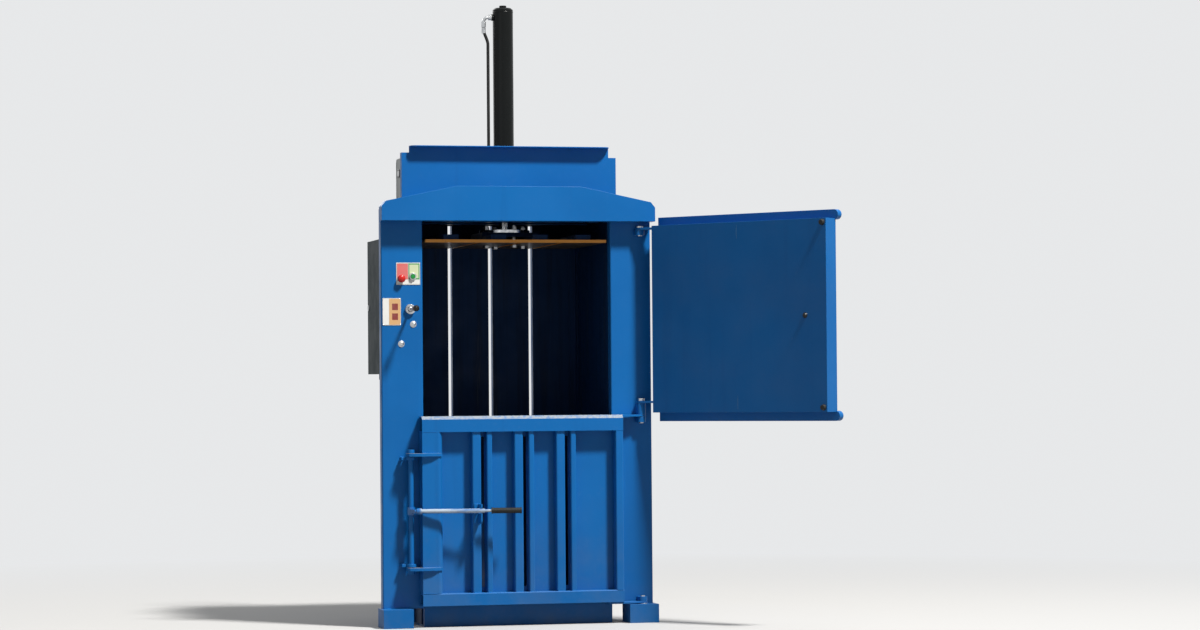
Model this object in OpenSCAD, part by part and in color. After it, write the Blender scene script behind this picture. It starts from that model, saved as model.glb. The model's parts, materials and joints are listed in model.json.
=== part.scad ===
// Vertical recycling baler with its loading door open and its bale door closed.
// Origin on the floor under the middle of the body; +Z is up and -Y is the front.

/* [Body] */
// Width over the two front posts
body_w = 1065; // [1000:5:1160]
// Depth from the front of the posts to the back of the rear ribs
body_d = 620; // [580:5:700]
// Width of each front post
post_w = 162; // [140:2:180]
// Depth of the folded posts
post_d = 40; // [30:1:50]
// Sheet thickness of posts, header and beams
post_t = 5; // [4:0.5:6]
// Outer fold radius of the posts
post_r = 6; // [5:1:8]
// Sheet thickness of the chamber walls
wall_t = 5; // [4:0.5:6]
// Underside of the deck above the chamber
deck_z = 1640; // [1625:5:1700]
// Thickness of the deck
deck_t = 8; // [6:1:12]
// How far the deck reaches outside the strips of the fascia
deck_side = 0; // [0:1:15]

/* [Base] */
// Height of the base frame
base_h = 84; // [78:1:100]
// Depth of the beams of the base frame
base_beam_d = 50; // [40:5:60]
// Setback of the base frame behind the front of the posts
base_in = 6; // [4:1:20]
// Width of the middle cross tube of the base
base_tube_w = 80; // [60:5:120]
// Thickness of the chamber floor
floor_t = 12; // [10:1:16]
// Depth of the strap grooves in the floor
groove_h = 7; // [4:1:8]
// Height of the front feet
foot_h = 72; // [60:1:74]
// Width of the front feet
foot_w = 116; // [110:2:140]
// How far the feet reach in front of the posts
foot_out = 60; // [50:5:90]
// How far the feet reach outside the posts
foot_side = 8; // [5:1:25]

/* [Ribs and straps] */
// Depth of the outside ribs of the side walls
side_rib_d = 24; // [20:1:30]
// Width of the outside ribs of the side walls
side_rib_w = 50; // [40:5:60]
// Depth of the ribs behind the rear wall
rear_rib_d = 49; // [40:1:60]
// Sheet thickness of ribs and channels
rib_t = 4; // [3:0.5:5]
// Middle of the ram and of the strap slots, right of the middle of the posts
line_x = 17; // [0:1:25]
// Distance between strap slots
strap_pitch = 165; // [150:1:180]
// Width of the strap slots
slot_w = 17; // [12:1:20]
// Free width between the two channels beside a slot
strap_gap = 22; // [18:1:26]
// Width of the channel left of each slot
channel_l_w = 35; // [30:1:40]
// Width of the channel right of each slot
channel_r_w = 22; // [16:1:28]
// Leg of the platen guide rails in the rear corners
guide_w = 30; // [20:1:40]

/* [Header and top] */
// Distance from the underside of the deck down to the lower edge of the header
header_drop = 87; // [70:1:95]
// Height of the header at its two ends
header_end_h = 54; // [40:1:70]
// Height of the header in the middle
header_h = 133; // [120:1:150]
// Length of the flat top of the header
header_flat_w = 488; // [300:2:600]
// How far the header stands in front of the posts
header_out = 58; // [45:1:62]
// How far the header reaches outside each post
header_side = 6; // [0:1:12]
// Height of the top fascia above the deck
fascia_h = 203; // [180:1:240]
// Width of the top fascia
fascia_w = 794; // [740:2:800]
// Setback of the fascia behind the front of the posts
fascia_in = 120; // [100:5:140]
// Reach of the rolled lip of the fascia
lip_out = 35; // [20:1:50]
// Corner radius of the lip
lip_r = 30; // [10:1:35]
// Width of the strips beside the fascia
strip_w = 30; // [20:1:34]

/* [Ram] */
// Setback of the ram behind the front of the posts
ram_in = 298; // [280:2:330]
// Travel of the ram
ram_stroke = 600; // [400:10:640]
// Outside diameter of the cylinder
barrel_od = 80; // [72:1:90]
// Bore of the cylinder
barrel_id = 60; // [56:1:66]
// Top of the cylinder barrel
barrel_top = 2395; // [2380:5:2450]
// Diameter of the ram rod
rod_d = 45; // [35:1:50]
// Side of the square mounting flange of the cylinder
mount_w = 170; // [150:5:200]
// Distance from the underside of the deck down to that of the raised platen
platen_drop = 168; // [166:1:180]
// Thickness of the platen
platen_t = 12; // [10:1:14]
// Width of the platen
platen_w = 714; // [700:2:726]
// Gap between platen and rear wall
platen_gap = 10; // [6:1:20]
// Height of the bars on the platen
bar_h = 20; // [16:1:24]
// Bolt circle radius of the rod flange
rod_bolt_r = 80; // [76:1:84]
// Diameter of the platen bolts
platen_bolt_d = 16; // [12:1:16]

/* [Hinges] */
// Distance from the outer edge of the post to the hinge line
hinge_in = 47.5; // [40:0.5:55]
// Distance of the hinge line in front of the posts
hinge_out = 22; // [20:1:26]
// Diameter of the hinge pins
pin_d = 18; // [14:1:20]
// Radius of the hinge eyes
eye_r = 18; // [15:1:19]
// Thickness of the hinge arms
arm_t = 8; // [6:1:8]
// Diametral play of arms on their pins
pin_play = 0.4; // [0.2:0.1:0.8]
// Gap between neighbouring hinge parts
hinge_gap = 0.5; // [0.3:0.1:1]

/* [Upper door] */
// Opening angle of the upper door as it stands
door_open = 127; // [90:1:140]
// Lower edge of the inner tray
tray_z = 812; // [810:1:830]
// Height of the inner tray
tray_h = 723; // [690:1:730]
// Width of the inner tray
tray_w = 824; // [800:2:830]
// Depth of the inner tray
tray_d = 60; // [50:1:62]
// Distance from the hinge line to the tray
tray_off = 66; // [60:1:70]
// Gap between the closed door and the posts
tray_gap = 12; // [10:1:16]
// Sheet thickness of the upper door
tray_t = 4; // [3:0.5:5]
// Height of the rails along the outer skin
rail_h = 38; // [30:1:42]
// Depth of the rails along the outer skin
rail_d = 25; // [20:1:30]

/* [Lower door] */
// Lower edge of the lower door
lower_z = 83; // [80:1:90]
// Top of the lower door
lower_top = 805; // [795:1:808]
// Left edge of the lower door, left of the middle
lower_left = 389; // [385:1:400]
// Right edge of the lower door, right of the middle
lower_right = 401; // [390:1:410]
// Depth of the frame of the lower door
frame_d = 63; // [55:1:66]
// Gap between the lower door and the posts
lower_gap = 4; // [3:1:8]
// Height of the top rail
top_rail_h = 60; // [50:1:70]
// Height of the bottom rail
bottom_rail_h = 47; // [40:1:60]
// Width of the left stile
left_stile_w = 80; // [65:1:85]
// Width of the right stile
right_stile_w = 31; // [25:1:40]
// Depth of the panel behind the front of the frame
panel_in = 45; // [35:1:50]
// Thickness of the panel
panel_t = 5; // [3:0.5:6]

/* [Door lock] */
// Distance of the lock shaft left of the door
lock_off = 40; // [40:1:44]
// Distance of the lock shaft in front of the posts
lock_out = 42; // [41:0.5:44]
// Diameter of the lock shaft
lock_d = 20; // [18:1:26]
// Angle of the lever short of fully locked
lock_rest = 8; // [7:1:14]
// Reach of the claws from the shaft
claw_r = 33; // [32:0.5:33.5]
// Height of the lever
lever_z = 445; // [435:1:460]
// Diameter of the lever rod
lever_d = 17; // [14:1:18]
// Height of the upper lug
lug_high_z = 653; // [640:1:670]
// Height of the lower lug
lug_low_z = 218; // [200:1:240]
// Thickness of lugs and claws
lug_t = 12; // [10:1:14]

/* [Controls] */
// Distance of the stop button from the outer edge of the post
stop_in = 77.5; // [72:0.5:82]
// Height of the stop button
stop_z = 1332; // [1328:1:1340]
// Distance of the start button from the outer edge of the post
start_in = 123.5; // [118:0.5:128]
// Height of the start button
start_z = 1341; // [1336:1:1350]
// Travel of the buttons
press = 4; // [2:0.5:5]
// Distance of the valve lever from the outer edge of the post
valve_in = 112.5; // [102:0.5:116]
// Height of the valve lever
valve_z = 1216; // [1200:1:1225]
// Reach of the valve lever in front of the posts
valve_reach = 131; // [110:1:150]
// Width of the plate behind the buttons
control_w = 93; // [88:1:96]
// Height of the plate behind the buttons
control_h = 85; // [80:1:100]
// Distance of the side plate from the outer edge of the post
info_in = 5.5; // [4:0.5:8]
// Lower edge of the side plate
info_z = 1154; // [1130:1:1160]
// Width of the side plate
info_w = 71; // [60:1:74]
// Height of the side plate
info_h = 104; // [90:1:120]

/* [Cabinet] */
// Lower edge of the electrical cabinet
cab_z = 970; // [950:5:1000]
// Height of the cabinet
cab_h = 520; // [480:5:560]
// Width of the cabinet along the wall
cab_w = 338; // [300:2:360]
// Depth of the cabinet body
cab_d = 103; // [90:1:110]
// Setback of the cabinet behind the front of the posts
cab_in = 62; // [62:1:75]
// Sheet thickness of the cabinet
cab_t = 2.5; // [2:0.5:4]

/* [Hidden] */
$fn = 48;
fy = -body_d / 2;
in_x = body_w / 2 - post_w;
rear_y = fy + body_d - rear_rib_d - wall_t;
deck_top = deck_z + deck_t;
deck_half_w = fascia_w / 2 + strip_w + deck_side;
post_top = deck_z - 40;
header_z = deck_z - header_drop;
wall_z = 8;
straps = [for (i = [-1:1]) line_x + i * strap_pitch];
floor_top = base_h + floor_t;
side_rib_at = [200, 340, 480];
rib_x = in_x + wall_t + side_rib_d;
stop_x = body_w / 2 - stop_in;
start_x = body_w / 2 - start_in;
valve_x = body_w / 2 - valve_in;

ram_y = fy + ram_in;
platen_z = deck_z - platen_drop;
beam_h = 80;
beam_off = 75;
gland_h = 30;
gland_z = deck_z - 70;
port_low_z = deck_top + 64;
port_high_z = barrel_top - 21;
bolt_turn = 15;
plate_z = platen_z + platen_t + bar_h;
plate_t = 16;
flange_t = 12;
flange_z = plate_z + plate_t;
piston_z = barrel_top - 45;
platen_front = fy + 5;

hinge_x = body_w / 2 - hinge_in;
hinge_y = fy - hinge_out;
low_arm_z = lower_z - arm_t;
mid_arm_z = lower_top - arm_t;
up_arm_z = mid_arm_z + arm_t + 44;
top_arm_z = tray_z + tray_h - 6 - arm_t;
top_ear_h = 20;

tray_y = fy - tray_gap;
skin_t = 5;
lower_y = fy - lower_gap - frame_d;
panel_y = lower_y + panel_in;
channel_in = 6;
lock_x = -lower_left - lock_off;
lock_y = fy - lock_out;
lever_out = 36;
fork_t = 6;
fork_off = 6;
fork_x = line_x - strap_pitch - strap_gap / 2 - channel_l_w / 2;
rod_to = (fork_x + 18 - lock_x + lever_out * sin(lock_rest)) / cos(lock_rest);
grip_from = rod_to + 26;
grip_to = grip_from + 115;
neck_d = 11;
cab_back = -rib_x;
cab_y = fy + cab_in;
cab_pin_x = cab_back - cab_d - 5;
cab_pin_y = cab_y - 5;

blue = [0.05, 0.32, 0.6];
steel = [0.62, 0.63, 0.64];
black = [0.08, 0.08, 0.08];
grey = [0.66, 0.67, 0.66];
orange = [0.86, 0.55, 0.16];

// Channel section along +X: web at y = 0, open towards +Y
module beam_x(length, height, depth, t) {
    rotate([90, 0, 90]) linear_extrude(length) difference() {
        square([depth, height]);
        translate([t, t]) square([depth, height - 2 * t]);
    }
}

// Folded channel along +Z: face at y = 0 with round outer folds, open towards +Y
module folded(width, depth, height, t, r) {
    linear_extrude(height) difference() {
        union() {
            translate([r, 0]) square([width - 2 * r, depth]);
            translate([0, r]) square([width, depth - r]);
            for (x = [r, width - r]) translate([x, r]) circle(r);
        }
        translate([t, t]) square([width - 2 * t, depth]);
    }
}

module bore_y(d, from, length) {
    translate([0, from, 0]) rotate([-90, 0, 0]) cylinder(d = d, h = length);
}

module hex(d, h) {
    cylinder(d = d, h = h, $fn = 6);
}

// Quarter of a bent tube in the XZ plane: from below (at x = r) round to the left
module bend(r, d, angle = 90) {
    rotate([90, 0, 0]) rotate_extrude(angle = angle) translate([r, 0]) circle(d = d);
}

module base_frame() color(blue) {
    y0 = fy + base_in;
    length = rear_y - y0;
    translate([-in_x, y0, 0]) beam_x(2 * in_x, base_h, base_beam_d, post_t);
    translate([in_x, rear_y, 0]) rotate([0, 0, 180]) beam_x(2 * in_x, base_h, base_beam_d, post_t);
    translate([-in_x, rear_y, 0]) rotate([0, 0, -90]) beam_x(length, base_h, base_beam_d, post_t);
    translate([in_x, y0, 0]) rotate([0, 0, 90]) beam_x(length, base_h, base_beam_d, post_t);
    translate([-in_x, -base_tube_w / 2, 0]) difference() {
        cube([2 * in_x, base_tube_w, base_h]);
        translate([-1, post_t, post_t])
            cube([2 * in_x + 2, base_tube_w - 2 * post_t, base_h - 2 * post_t]);
    }
}

module chamber_floor() color(blue) difference() {
    y0 = fy + base_in;
    translate([-in_x, y0, base_h]) cube([2 * in_x, rear_y - y0, floor_t]);
    for (x = straps) translate([x - slot_w / 2, y0 - 1, floor_top - groove_h])
        cube([slot_w, rear_y - y0 + 2, groove_h + 1]);
}

// Folded box foot, open behind and below
module front_feet() color(blue) for (side = [-1, 1]) {
    x0 = side > 0 ? body_w / 2 + foot_side - foot_w : -body_w / 2 - foot_side;
    translate([x0, fy - foot_out, 0]) difference() {
        cube([foot_w, foot_out + post_d + 20, foot_h]);
        translate([post_t, post_t, -1])
            cube([foot_w - 2 * post_t, foot_out + post_d + 20, foot_h - post_t + 1]);
    }
}

module post(x0) {
    translate([x0, fy, foot_h]) folded(post_w, post_d, post_top - foot_h, post_t, post_r);
}

post_bolt_at = [[-valve_x + 12, valve_z - 58], [-stop_x, valve_z - 133]];
module left_post() color(blue) difference() {
    post(-body_w / 2);
    for (p = [[-stop_x, stop_z], [-start_x, start_z]])
        translate([p[0], 0, p[1]]) bore_y(22.4, fy - 1, post_t + 2);
    translate([-valve_x, 0, valve_z]) bore_y(30.4, fy - 1, post_t + 2);
    for (p = post_bolt_at) translate([p[0], 0, p[1]]) bore_y(10.4, fy - 1, post_t + 2);
}

module right_post() color(blue) post(in_x);

module side_wall(x0) {
    translate([x0, fy + post_d, wall_z]) cube([wall_t, rear_y - fy - post_d, deck_z - wall_z]);
}

module left_wall() color(blue) side_wall(-in_x - wall_t);

module right_wall() color(blue) side_wall(in_x);

module side_ribs() color(blue) for (side = [-1, 1], at = side_rib_at)
    translate([side * (in_x + wall_t + side_rib_d), fy + at - side * side_rib_w / 2, wall_z])
        rotate([0, 0, side * 90]) folded(side_rib_w, side_rib_d, deck_z - wall_z, rib_t, post_r);

module rear_wall() color(blue) difference() {
    translate([-in_x - wall_t, rear_y, wall_z]) cube([2 * (in_x + wall_t), wall_t, deck_z - wall_z]);
    for (x = straps) translate([x - slot_w / 2, rear_y - 1, floor_top - groove_h])
        cube([slot_w, wall_t + 2, gland_z - floor_top]);
}

module rear_rib(x0, width) {
    translate([x0 + width, rear_y + wall_t + rear_rib_d, wall_z])
        rotate([0, 0, 180]) folded(width, rear_rib_d, deck_z - wall_z, rib_t, post_r);
}

module rear_ribs() color(blue) {
    for (x = straps) {
        rear_rib(x - strap_gap / 2 - channel_l_w, channel_l_w);
        rear_rib(x + strap_gap / 2, channel_r_w);
    }
    rear_rib(-in_x - wall_t, channel_l_w);
    rear_rib(in_x + wall_t - channel_l_w, channel_l_w);
}

module guide_rails() color(blue) for (side = [-1, 1]) {
    x0 = side > 0 ? in_x : -in_x;
    translate([0, 0, lower_top - 100]) linear_extrude(gland_z - lower_top + 100) union() {
        translate([min(x0, x0 - side * guide_w), rear_y - rib_t]) square([guide_w, rib_t]);
        translate([min(x0, x0 - side * rib_t), rear_y - guide_w]) square([rib_t, guide_w]);
    }
}

// Outline of the header, drawn in by a wall thickness
function gable(inset) = let (w = body_w / 2 + header_side - inset, c = 17, s = 21)
    [[-w, inset], [w, inset], [w, header_end_h], [w - c, header_end_h + s - inset / 2],
     [header_flat_w / 2, header_h - inset], [-header_flat_w / 2, header_h - inset],
     [-w + c, header_end_h + s - inset / 2], [-w, header_end_h]];

module header() color(blue) translate([0, fy, header_z]) rotate([90, 0, 0]) difference() {
    linear_extrude(header_out) polygon(gable(0));
    translate([0, 0, -1]) linear_extrude(header_out - post_t + 1) polygon(gable(post_t));
}

module cross_beams() color(blue) {
    z = deck_z - beam_h;
    translate([-in_x, ram_y - beam_off - base_beam_d, z]) beam_x(2 * in_x, beam_h, base_beam_d, post_t);
    translate([in_x, ram_y + beam_off + base_beam_d, z])
        rotate([0, 0, 180]) beam_x(2 * in_x, beam_h, base_beam_d, post_t);
    translate([-in_x, fy, z]) beam_x(2 * in_x, beam_h, post_d, post_t);
}

mount_bolt_off = 62;
pipe_x = -in_x - 17.5;
pipe_y = [fy + 150, fy + 166];
module deck_plate() color(blue) difference() {
    translate([-deck_half_w, fy + post_d, deck_z])
        cube([2 * deck_half_w, rear_y + wall_t - fy - post_d, deck_t]);
    translate([line_x, ram_y, deck_z - 1]) cylinder(d = barrel_od + 1, h = deck_t + 2);
    for (i = [-1, 1], j = [-1, 1])
        translate([line_x + i * mount_bolt_off, ram_y + j * mount_bolt_off, deck_z - 1])
            cylinder(d = 17, h = deck_t + 2);
    for (y = pipe_y) translate([pipe_x, y, deck_z - 1]) cylinder(d = 10.6, h = deck_t + 2);
}

// Upright sheet with a rolled lip that leans out over its front, between two edge strips
module top_fascia() color(blue) {
    y0 = fy + fascia_in;
    half = fascia_w / 2;
    translate([-half, y0, deck_top]) cube([fascia_w, rib_t, fascia_h]);
    translate([0, 0, deck_top + fascia_h - rib_t]) linear_extrude(rib_t) union() {
        translate([-half, y0 - lip_out + lip_r]) square([fascia_w, lip_out - lip_r + rib_t]);
        translate([-half + lip_r, y0 - lip_out]) square([fascia_w - 2 * lip_r, lip_r + 1]);
        for (side = [-1, 1]) translate([side * (half - lip_r), y0 - lip_out + lip_r]) circle(lip_r);
    }
    for (side = [-1, 1]) {
        h = side < 0 ? fascia_h - 26 : fascia_h - 40;
        x1 = side * (half + strip_w);
        translate([min(side * half, x1), y0, deck_top]) cube([strip_w, rib_t, h]);
        translate([min(x1, x1 - side * rib_t), y0, deck_top]) cube([rib_t, 30, h]);
    }
}

module at_ram() {
    translate([line_x, ram_y, 0]) children();
}

boss_d = 26;
port_d = 10;
module cylinder_barrel() color(black) at_ram() difference() {
    z0 = gland_z + gland_h;
    union() {
        translate([0, 0, z0]) cylinder(d = barrel_od, h = barrel_top - z0);
        translate([-mount_w / 2, -mount_w / 2, deck_top]) cube([mount_w, mount_w, 20]);
        translate([0, 0, port_high_z]) rotate([0, -90, 0]) cylinder(d = boss_d, h = barrel_od / 2 + 6);
        translate([0, 0, port_low_z]) bore_y(boss_d, -barrel_od / 2 - 8, barrel_od / 2);
    }
    translate([0, 0, z0 - 1]) cylinder(d = barrel_id, h = barrel_top - z0 + 2);
    translate([0, 0, port_high_z]) rotate([0, -90, 0]) cylinder(d = port_d, h = barrel_od);
    translate([0, 0, port_low_z]) bore_y(port_d, -barrel_od, barrel_od);
    for (i = [-1, 1], j = [-1, 1])
        translate([i * mount_bolt_off, j * mount_bolt_off, deck_top - 1]) cylinder(d = 17, h = 22);
}

module cylinder_cap() color(black) at_ram() translate([0, 0, barrel_top]) {
    cylinder(d = barrel_od, h = 9);
    translate([0, 0, 9]) cylinder(d1 = barrel_od, d2 = barrel_od - 16, h = 7);
    translate([0, 0, 16]) cylinder(d = 28, h = 10);
}

rod_clear = 0.3;
module cylinder_gland() color(steel) at_ram() translate([0, 0, gland_z]) difference() {
    cylinder(d = barrel_od, h = gland_h);
    translate([0, 0, -1]) cylinder(d = rod_d + 2 * rod_clear, h = gland_h + 2);
}

// Return hose beside the cylinder: out of the elbow, back in through an S and straight down
hose_d = 12;
hose_x = -barrel_od / 2 - 38;
s_r = 60;
s_angle = 31;
s_shift = 2 * s_r * (1 - cos(s_angle));
hose_run_x = hose_x + s_shift;
s_h = 2 * s_r * sin(s_angle);
hose_top_z = port_high_z - 46;
hose_low_z = deck_top + 112;
hose_line = [for (t = [0, s_angle / 2, s_angle]) [hose_x + s_r * (1 - cos(t)), hose_top_z - s_r * sin(t)],
    for (t = [s_angle / 2, 0]) [hose_run_x - s_r * (1 - cos(t)), hose_top_z - s_h + s_r * sin(t)]];

// Straight piece of hose between two points of the XZ plane
module hose_piece(from, to) {
    run = to - from;
    translate([from[0], 0, from[1]]) rotate([0, atan2(run[0], run[1]), 0]) cylinder(d = hose_d, h = norm(run));
}

module hoses() color(black) {
    at_ram() {
        translate([hose_x, 0, hose_top_z]) cylinder(d = hose_d, h = 7);
        for (i = [0:3]) hose_piece(hose_line[i], hose_line[i + 1]);
        for (i = [0:4]) translate([hose_line[i][0], 0, hose_line[i][1]]) sphere(d = hose_d + 0.2);
        translate([hose_run_x, 0, hose_low_z]) cylinder(d = hose_d, h = hose_top_z - s_h - hose_low_z);
    }
    translate([line_x, ram_y - barrel_od / 2 - 8, port_low_z]) {
        translate([0, -22, 0]) bore_y(hose_d, 0, 22);
        translate([22, -22, 0]) rotate([0, 0, 180]) rotate_extrude(angle = 90) translate([22, 0]) circle(d = hose_d);
        translate([22, -44, 0]) rotate([0, 90, 0]) cylinder(d = hose_d, h = pump_x - line_x - 22);
    }
    translate([tank_x + tank_l, ram_y - 125, port_low_z])
        rotate([0, 90, 0]) cylinder(d = 22, h = pump_x - tank_x - tank_l);
}

elbow_r = 18;
module hose_fittings() color(steel) at_ram() {
    x0 = -barrel_od / 2 - 6;
    translate([x0, 0, port_high_z]) rotate([0, -90, 0]) hex(22, 14);
    translate([x0 - 14, 0, port_high_z - elbow_r]) rotate([0, 0, 180]) bend(elbow_r, 13);
    translate([hose_x, 0, hose_top_z + 7]) cylinder(d = 18, h = 21);
    translate([hose_run_x, 0, hose_low_z - 28]) cylinder(d = 18, h = 28);
    translate([hose_run_x, 0, hose_low_z - 28 - elbow_r]) cylinder(d = 13, h = elbow_r);
    translate([hose_run_x, 0, hose_low_z - 28 - elbow_r]) sphere(d = 13);
    translate([hose_run_x, 0, hose_low_z - 28 - elbow_r])
        rotate([0, -90, 0]) cylinder(d = 13, h = line_x + hose_run_x - tank_x - tank_l - 0.1);
}

tank_x = -rib_x;
tank_l = 210;
tank_y = fy + 140;
tank_w = 230;
tank_h = 167;
filler_at = [tank_x + 150, tank_y + 60];
sight_at = [tank_y + 180, deck_top + 108];
sight_w = 32;
sight_h = 24;
module oil_tank() color(grey) difference() {
    translate([tank_x, tank_y, deck_top]) cube([tank_l, tank_w, tank_h]);
    translate([tank_x + 3, tank_y + 3, deck_top + 3]) cube([tank_l - 6, tank_w - 6, tank_h - 6]);
    translate([filler_at[0], filler_at[1], deck_top]) cylinder(d = 30, h = tank_h + 1);
}

// Breather cap on the tank and the oval sight glass in its side
module tank_fittings() color(black) {
    translate([filler_at[0], filler_at[1], deck_top + tank_h - 12]) cylinder(d = 29.6, h = 12);
    translate([filler_at[0], filler_at[1], deck_top + tank_h]) cylinder(d = 46, h = 22);
    translate([tank_x, sight_at[0], sight_at[1]]) rotate([0, -90, 0]) linear_extrude(3) union() {
        for (s = [-1, 1]) translate([0, s * sight_h / 2]) circle(d = sight_w);
        square([sight_w, sight_h], center = true);
    }
}

pump_x = 115;
pump_l = 50;
motor_in = 225;
motor_rise = 92;
motor_y = fy + motor_in;
motor_z = deck_top + motor_rise;
motor_foot = [34, 116, 30];
motor_feet_at = [34, 124];
motor_d = 140;
motor_l = 210;
module motor() color([0.25, 0.4, 0.55]) translate([pump_x + pump_l, motor_y, motor_z]) {
    rotate([0, 90, 0]) {
        cylinder(d = motor_d - 16, h = motor_l);
        cylinder(d = motor_d + 10, h = 12);
        for (i = [0:17]) rotate([0, 0, i * 20]) translate([0, -1.5, 20]) cube([motor_d / 2, 3, motor_l - 60]);
        translate([0, 0, motor_l - 38]) cylinder(d = motor_d + 4, h = 38);
    }
    for (x = motor_feet_at) translate([x, -motor_foot[1] / 2, -motor_rise]) cube(motor_foot);
    translate([60, -40, motor_d / 2 - 10]) cube([80, 80, 40]);
}

module pump() color(steel) {
    translate([pump_x, motor_y - 65, port_low_z - 24]) cube([pump_l, 105, 95]);
}

module spool_valve() color(steel) {
    translate([-valve_x - 30, fy + post_t, valve_z - 46]) difference() {
        cube([30 + valve_x + pipe_x + 6, 30, 102]);
        translate([30, 0, 46]) bore_y(20, -1, 24);
    }
}

// Two pipes from the valve, up inside the post, back under the deck and up into the tank
module valve_pipes() color(steel) for (i = [0, 1]) {
    y0 = fy + post_t + (i == 0 ? 8 : 22);
    turn_z = deck_z - (i == 0 ? 20 : 38);
    y1 = pipe_y[i];
    r = 12;
    translate([pipe_x, y0, valve_z + 56]) cylinder(d = 10, h = turn_z - r - valve_z - 56);
    translate([pipe_x, y0 + r, turn_z - r]) rotate([0, 0, -90]) rotate([90, 0, 0])
        rotate([0, 0, 90]) rotate_extrude(angle = 90) translate([r, 0]) circle(d = 10);
    translate([pipe_x, 0, turn_z]) bore_y(10, y0 + r, y1 - y0 - 2 * r);
    translate([pipe_x, y1 - r, turn_z + r]) rotate([0, 0, -90]) rotate([90, 0, 0])
        rotate([0, 0, -180]) rotate_extrude(angle = 90) translate([r, 0]) circle(d = 10);
    translate([pipe_x, y1, turn_z + r]) cylinder(d = 10, h = deck_top - turn_z - r);
}

label_t = 1.5;
bezel_h = 5;
module control_bezels() color(steel) {
    for (p = [[-stop_x, stop_z], [-start_x, start_z]]) translate([p[0], 0, p[1]]) difference() {
        union() {
            bore_y(28, fy - label_t - bezel_h, bezel_h);
            bore_y(22, fy - label_t, label_t + post_t + 20);
        }
        bore_y(18.6, fy - label_t - bezel_h - 1, 60);
    }
    translate([-valve_x, 0, valve_z]) difference() {
        union() {
            bore_y(38, fy - 11, 11);
            bore_y(30, fy, post_t);
        }
        bore_y(22, fy - 15, 30);
    }
}

module control_plate() color(grey) difference() {
    translate([-stop_x - 18, fy - label_t, stop_z - 23]) cube([control_w, label_t, control_h]);
    for (p = [[-stop_x, stop_z], [-start_x, start_z]])
        translate([p[0], 0, p[1]]) bore_y(22.4, fy - label_t - 1, label_t + 2);
}

module info_plate() color([0.85, 0.7, 0.5])
    translate([-body_w / 2 + info_in, fy - label_t, info_z]) cube([info_w, label_t, info_h]);

// Dome bolts on the post, and the bolts of the cylinder flange with their nuts
module frame_bolts() color(steel) {
    for (p = post_bolt_at) translate([p[0], fy, p[1]]) {
        bore_y(10, 0, 16);
        rotate([90, 0, 0]) cylinder(d = 20, h = 2);
        rotate([90, 0, 0]) translate([0, 0, 2]) cylinder(d1 = 20, d2 = 10, h = 4);
        translate([0, post_t, 0]) rotate([-90, 0, 0]) hex(18, 8);
    }
    for (i = [-1, 1], j = [-1, 1])
        translate([line_x + i * mount_bolt_off, ram_y + j * mount_bolt_off, 0]) {
            translate([0, 0, deck_z - 20]) cylinder(d = 16, h = deck_t + 42);
            translate([0, 0, deck_top + 20]) hex(27, 10);
            translate([0, 0, deck_z - 13]) hex(27, 13);
        }
}

cab_eye_d = 9.6;
cab_hinges = [cab_z + 40, cab_z + cab_h - 60];
lock_at = [cab_y + cab_w - 25, cab_z + cab_h / 2];
module cabinet_body() color([0.16, 0.19, 0.2]) {
    difference() {
        translate([cab_back - cab_d, cab_y, cab_z]) cube([cab_d, cab_w, cab_h]);
        translate([cab_back - cab_d - 1, cab_y + cab_t, cab_z + cab_t])
            cube([cab_d - cab_t + 1, cab_w - 2 * cab_t, cab_h - 2 * cab_t]);
    }
    translate([cab_back - cab_d, cab_y + cab_w - 14, cab_z]) cube([cab_t, 14, cab_h]);
    for (z = cab_hinges) {
        translate([cab_pin_x, cab_pin_y, z - 12]) cylinder(d = 6, h = 44);
        translate([cab_pin_x, cab_pin_y, z - 12]) cylinder(d = cab_eye_d, h = 11.5);
        translate([cab_pin_x, cab_pin_y, z - 12]) cube([10, 5, 11.5]);
    }
}

conduit_at = [cab_back - cab_d + 10, fy + 205];
module cabinet_conduit() color([0.1, 0.12, 0.2]) translate([conduit_at[0], conduit_at[1], 0]) {
    r = 50;
    d = 18;
    translate([0, 0, cab_z - 22]) hex(24, 22);
    translate([0, 0, cab_z - 90]) cylinder(d = d, h = 68);
    translate([r, 0, cab_z - 90]) rotate([0, 180, 0]) bend(r, d);
    translate([r, 0, cab_z - 90 - r]) rotate([0, 90, 0]) cylinder(d = d, h = cab_d - 10 - r);
}

// Ear round a hinge pin, standing on the face of the post
module ear(z0, z1) {
    difference() {
        translate([hinge_x, hinge_y, z0]) linear_extrude(z1 - z0) union() {
            circle(eye_r);
            translate([-eye_r, 0]) square([2 * eye_r, hinge_out]);
        }
        translate([hinge_x, hinge_y, z0 - 1]) cylinder(d = pin_d + 0.1, h = z1 - z0 + 2);
    }
}

module hinge_brackets() color(blue) {
    ear(lower_z + hinge_gap, lower_z + 17);
    ear(mid_arm_z - 22, mid_arm_z - hinge_gap);
    ear(mid_arm_z + arm_t + hinge_gap, up_arm_z - hinge_gap);
    ear(top_arm_z - top_ear_h, top_arm_z - hinge_gap);
}

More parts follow.
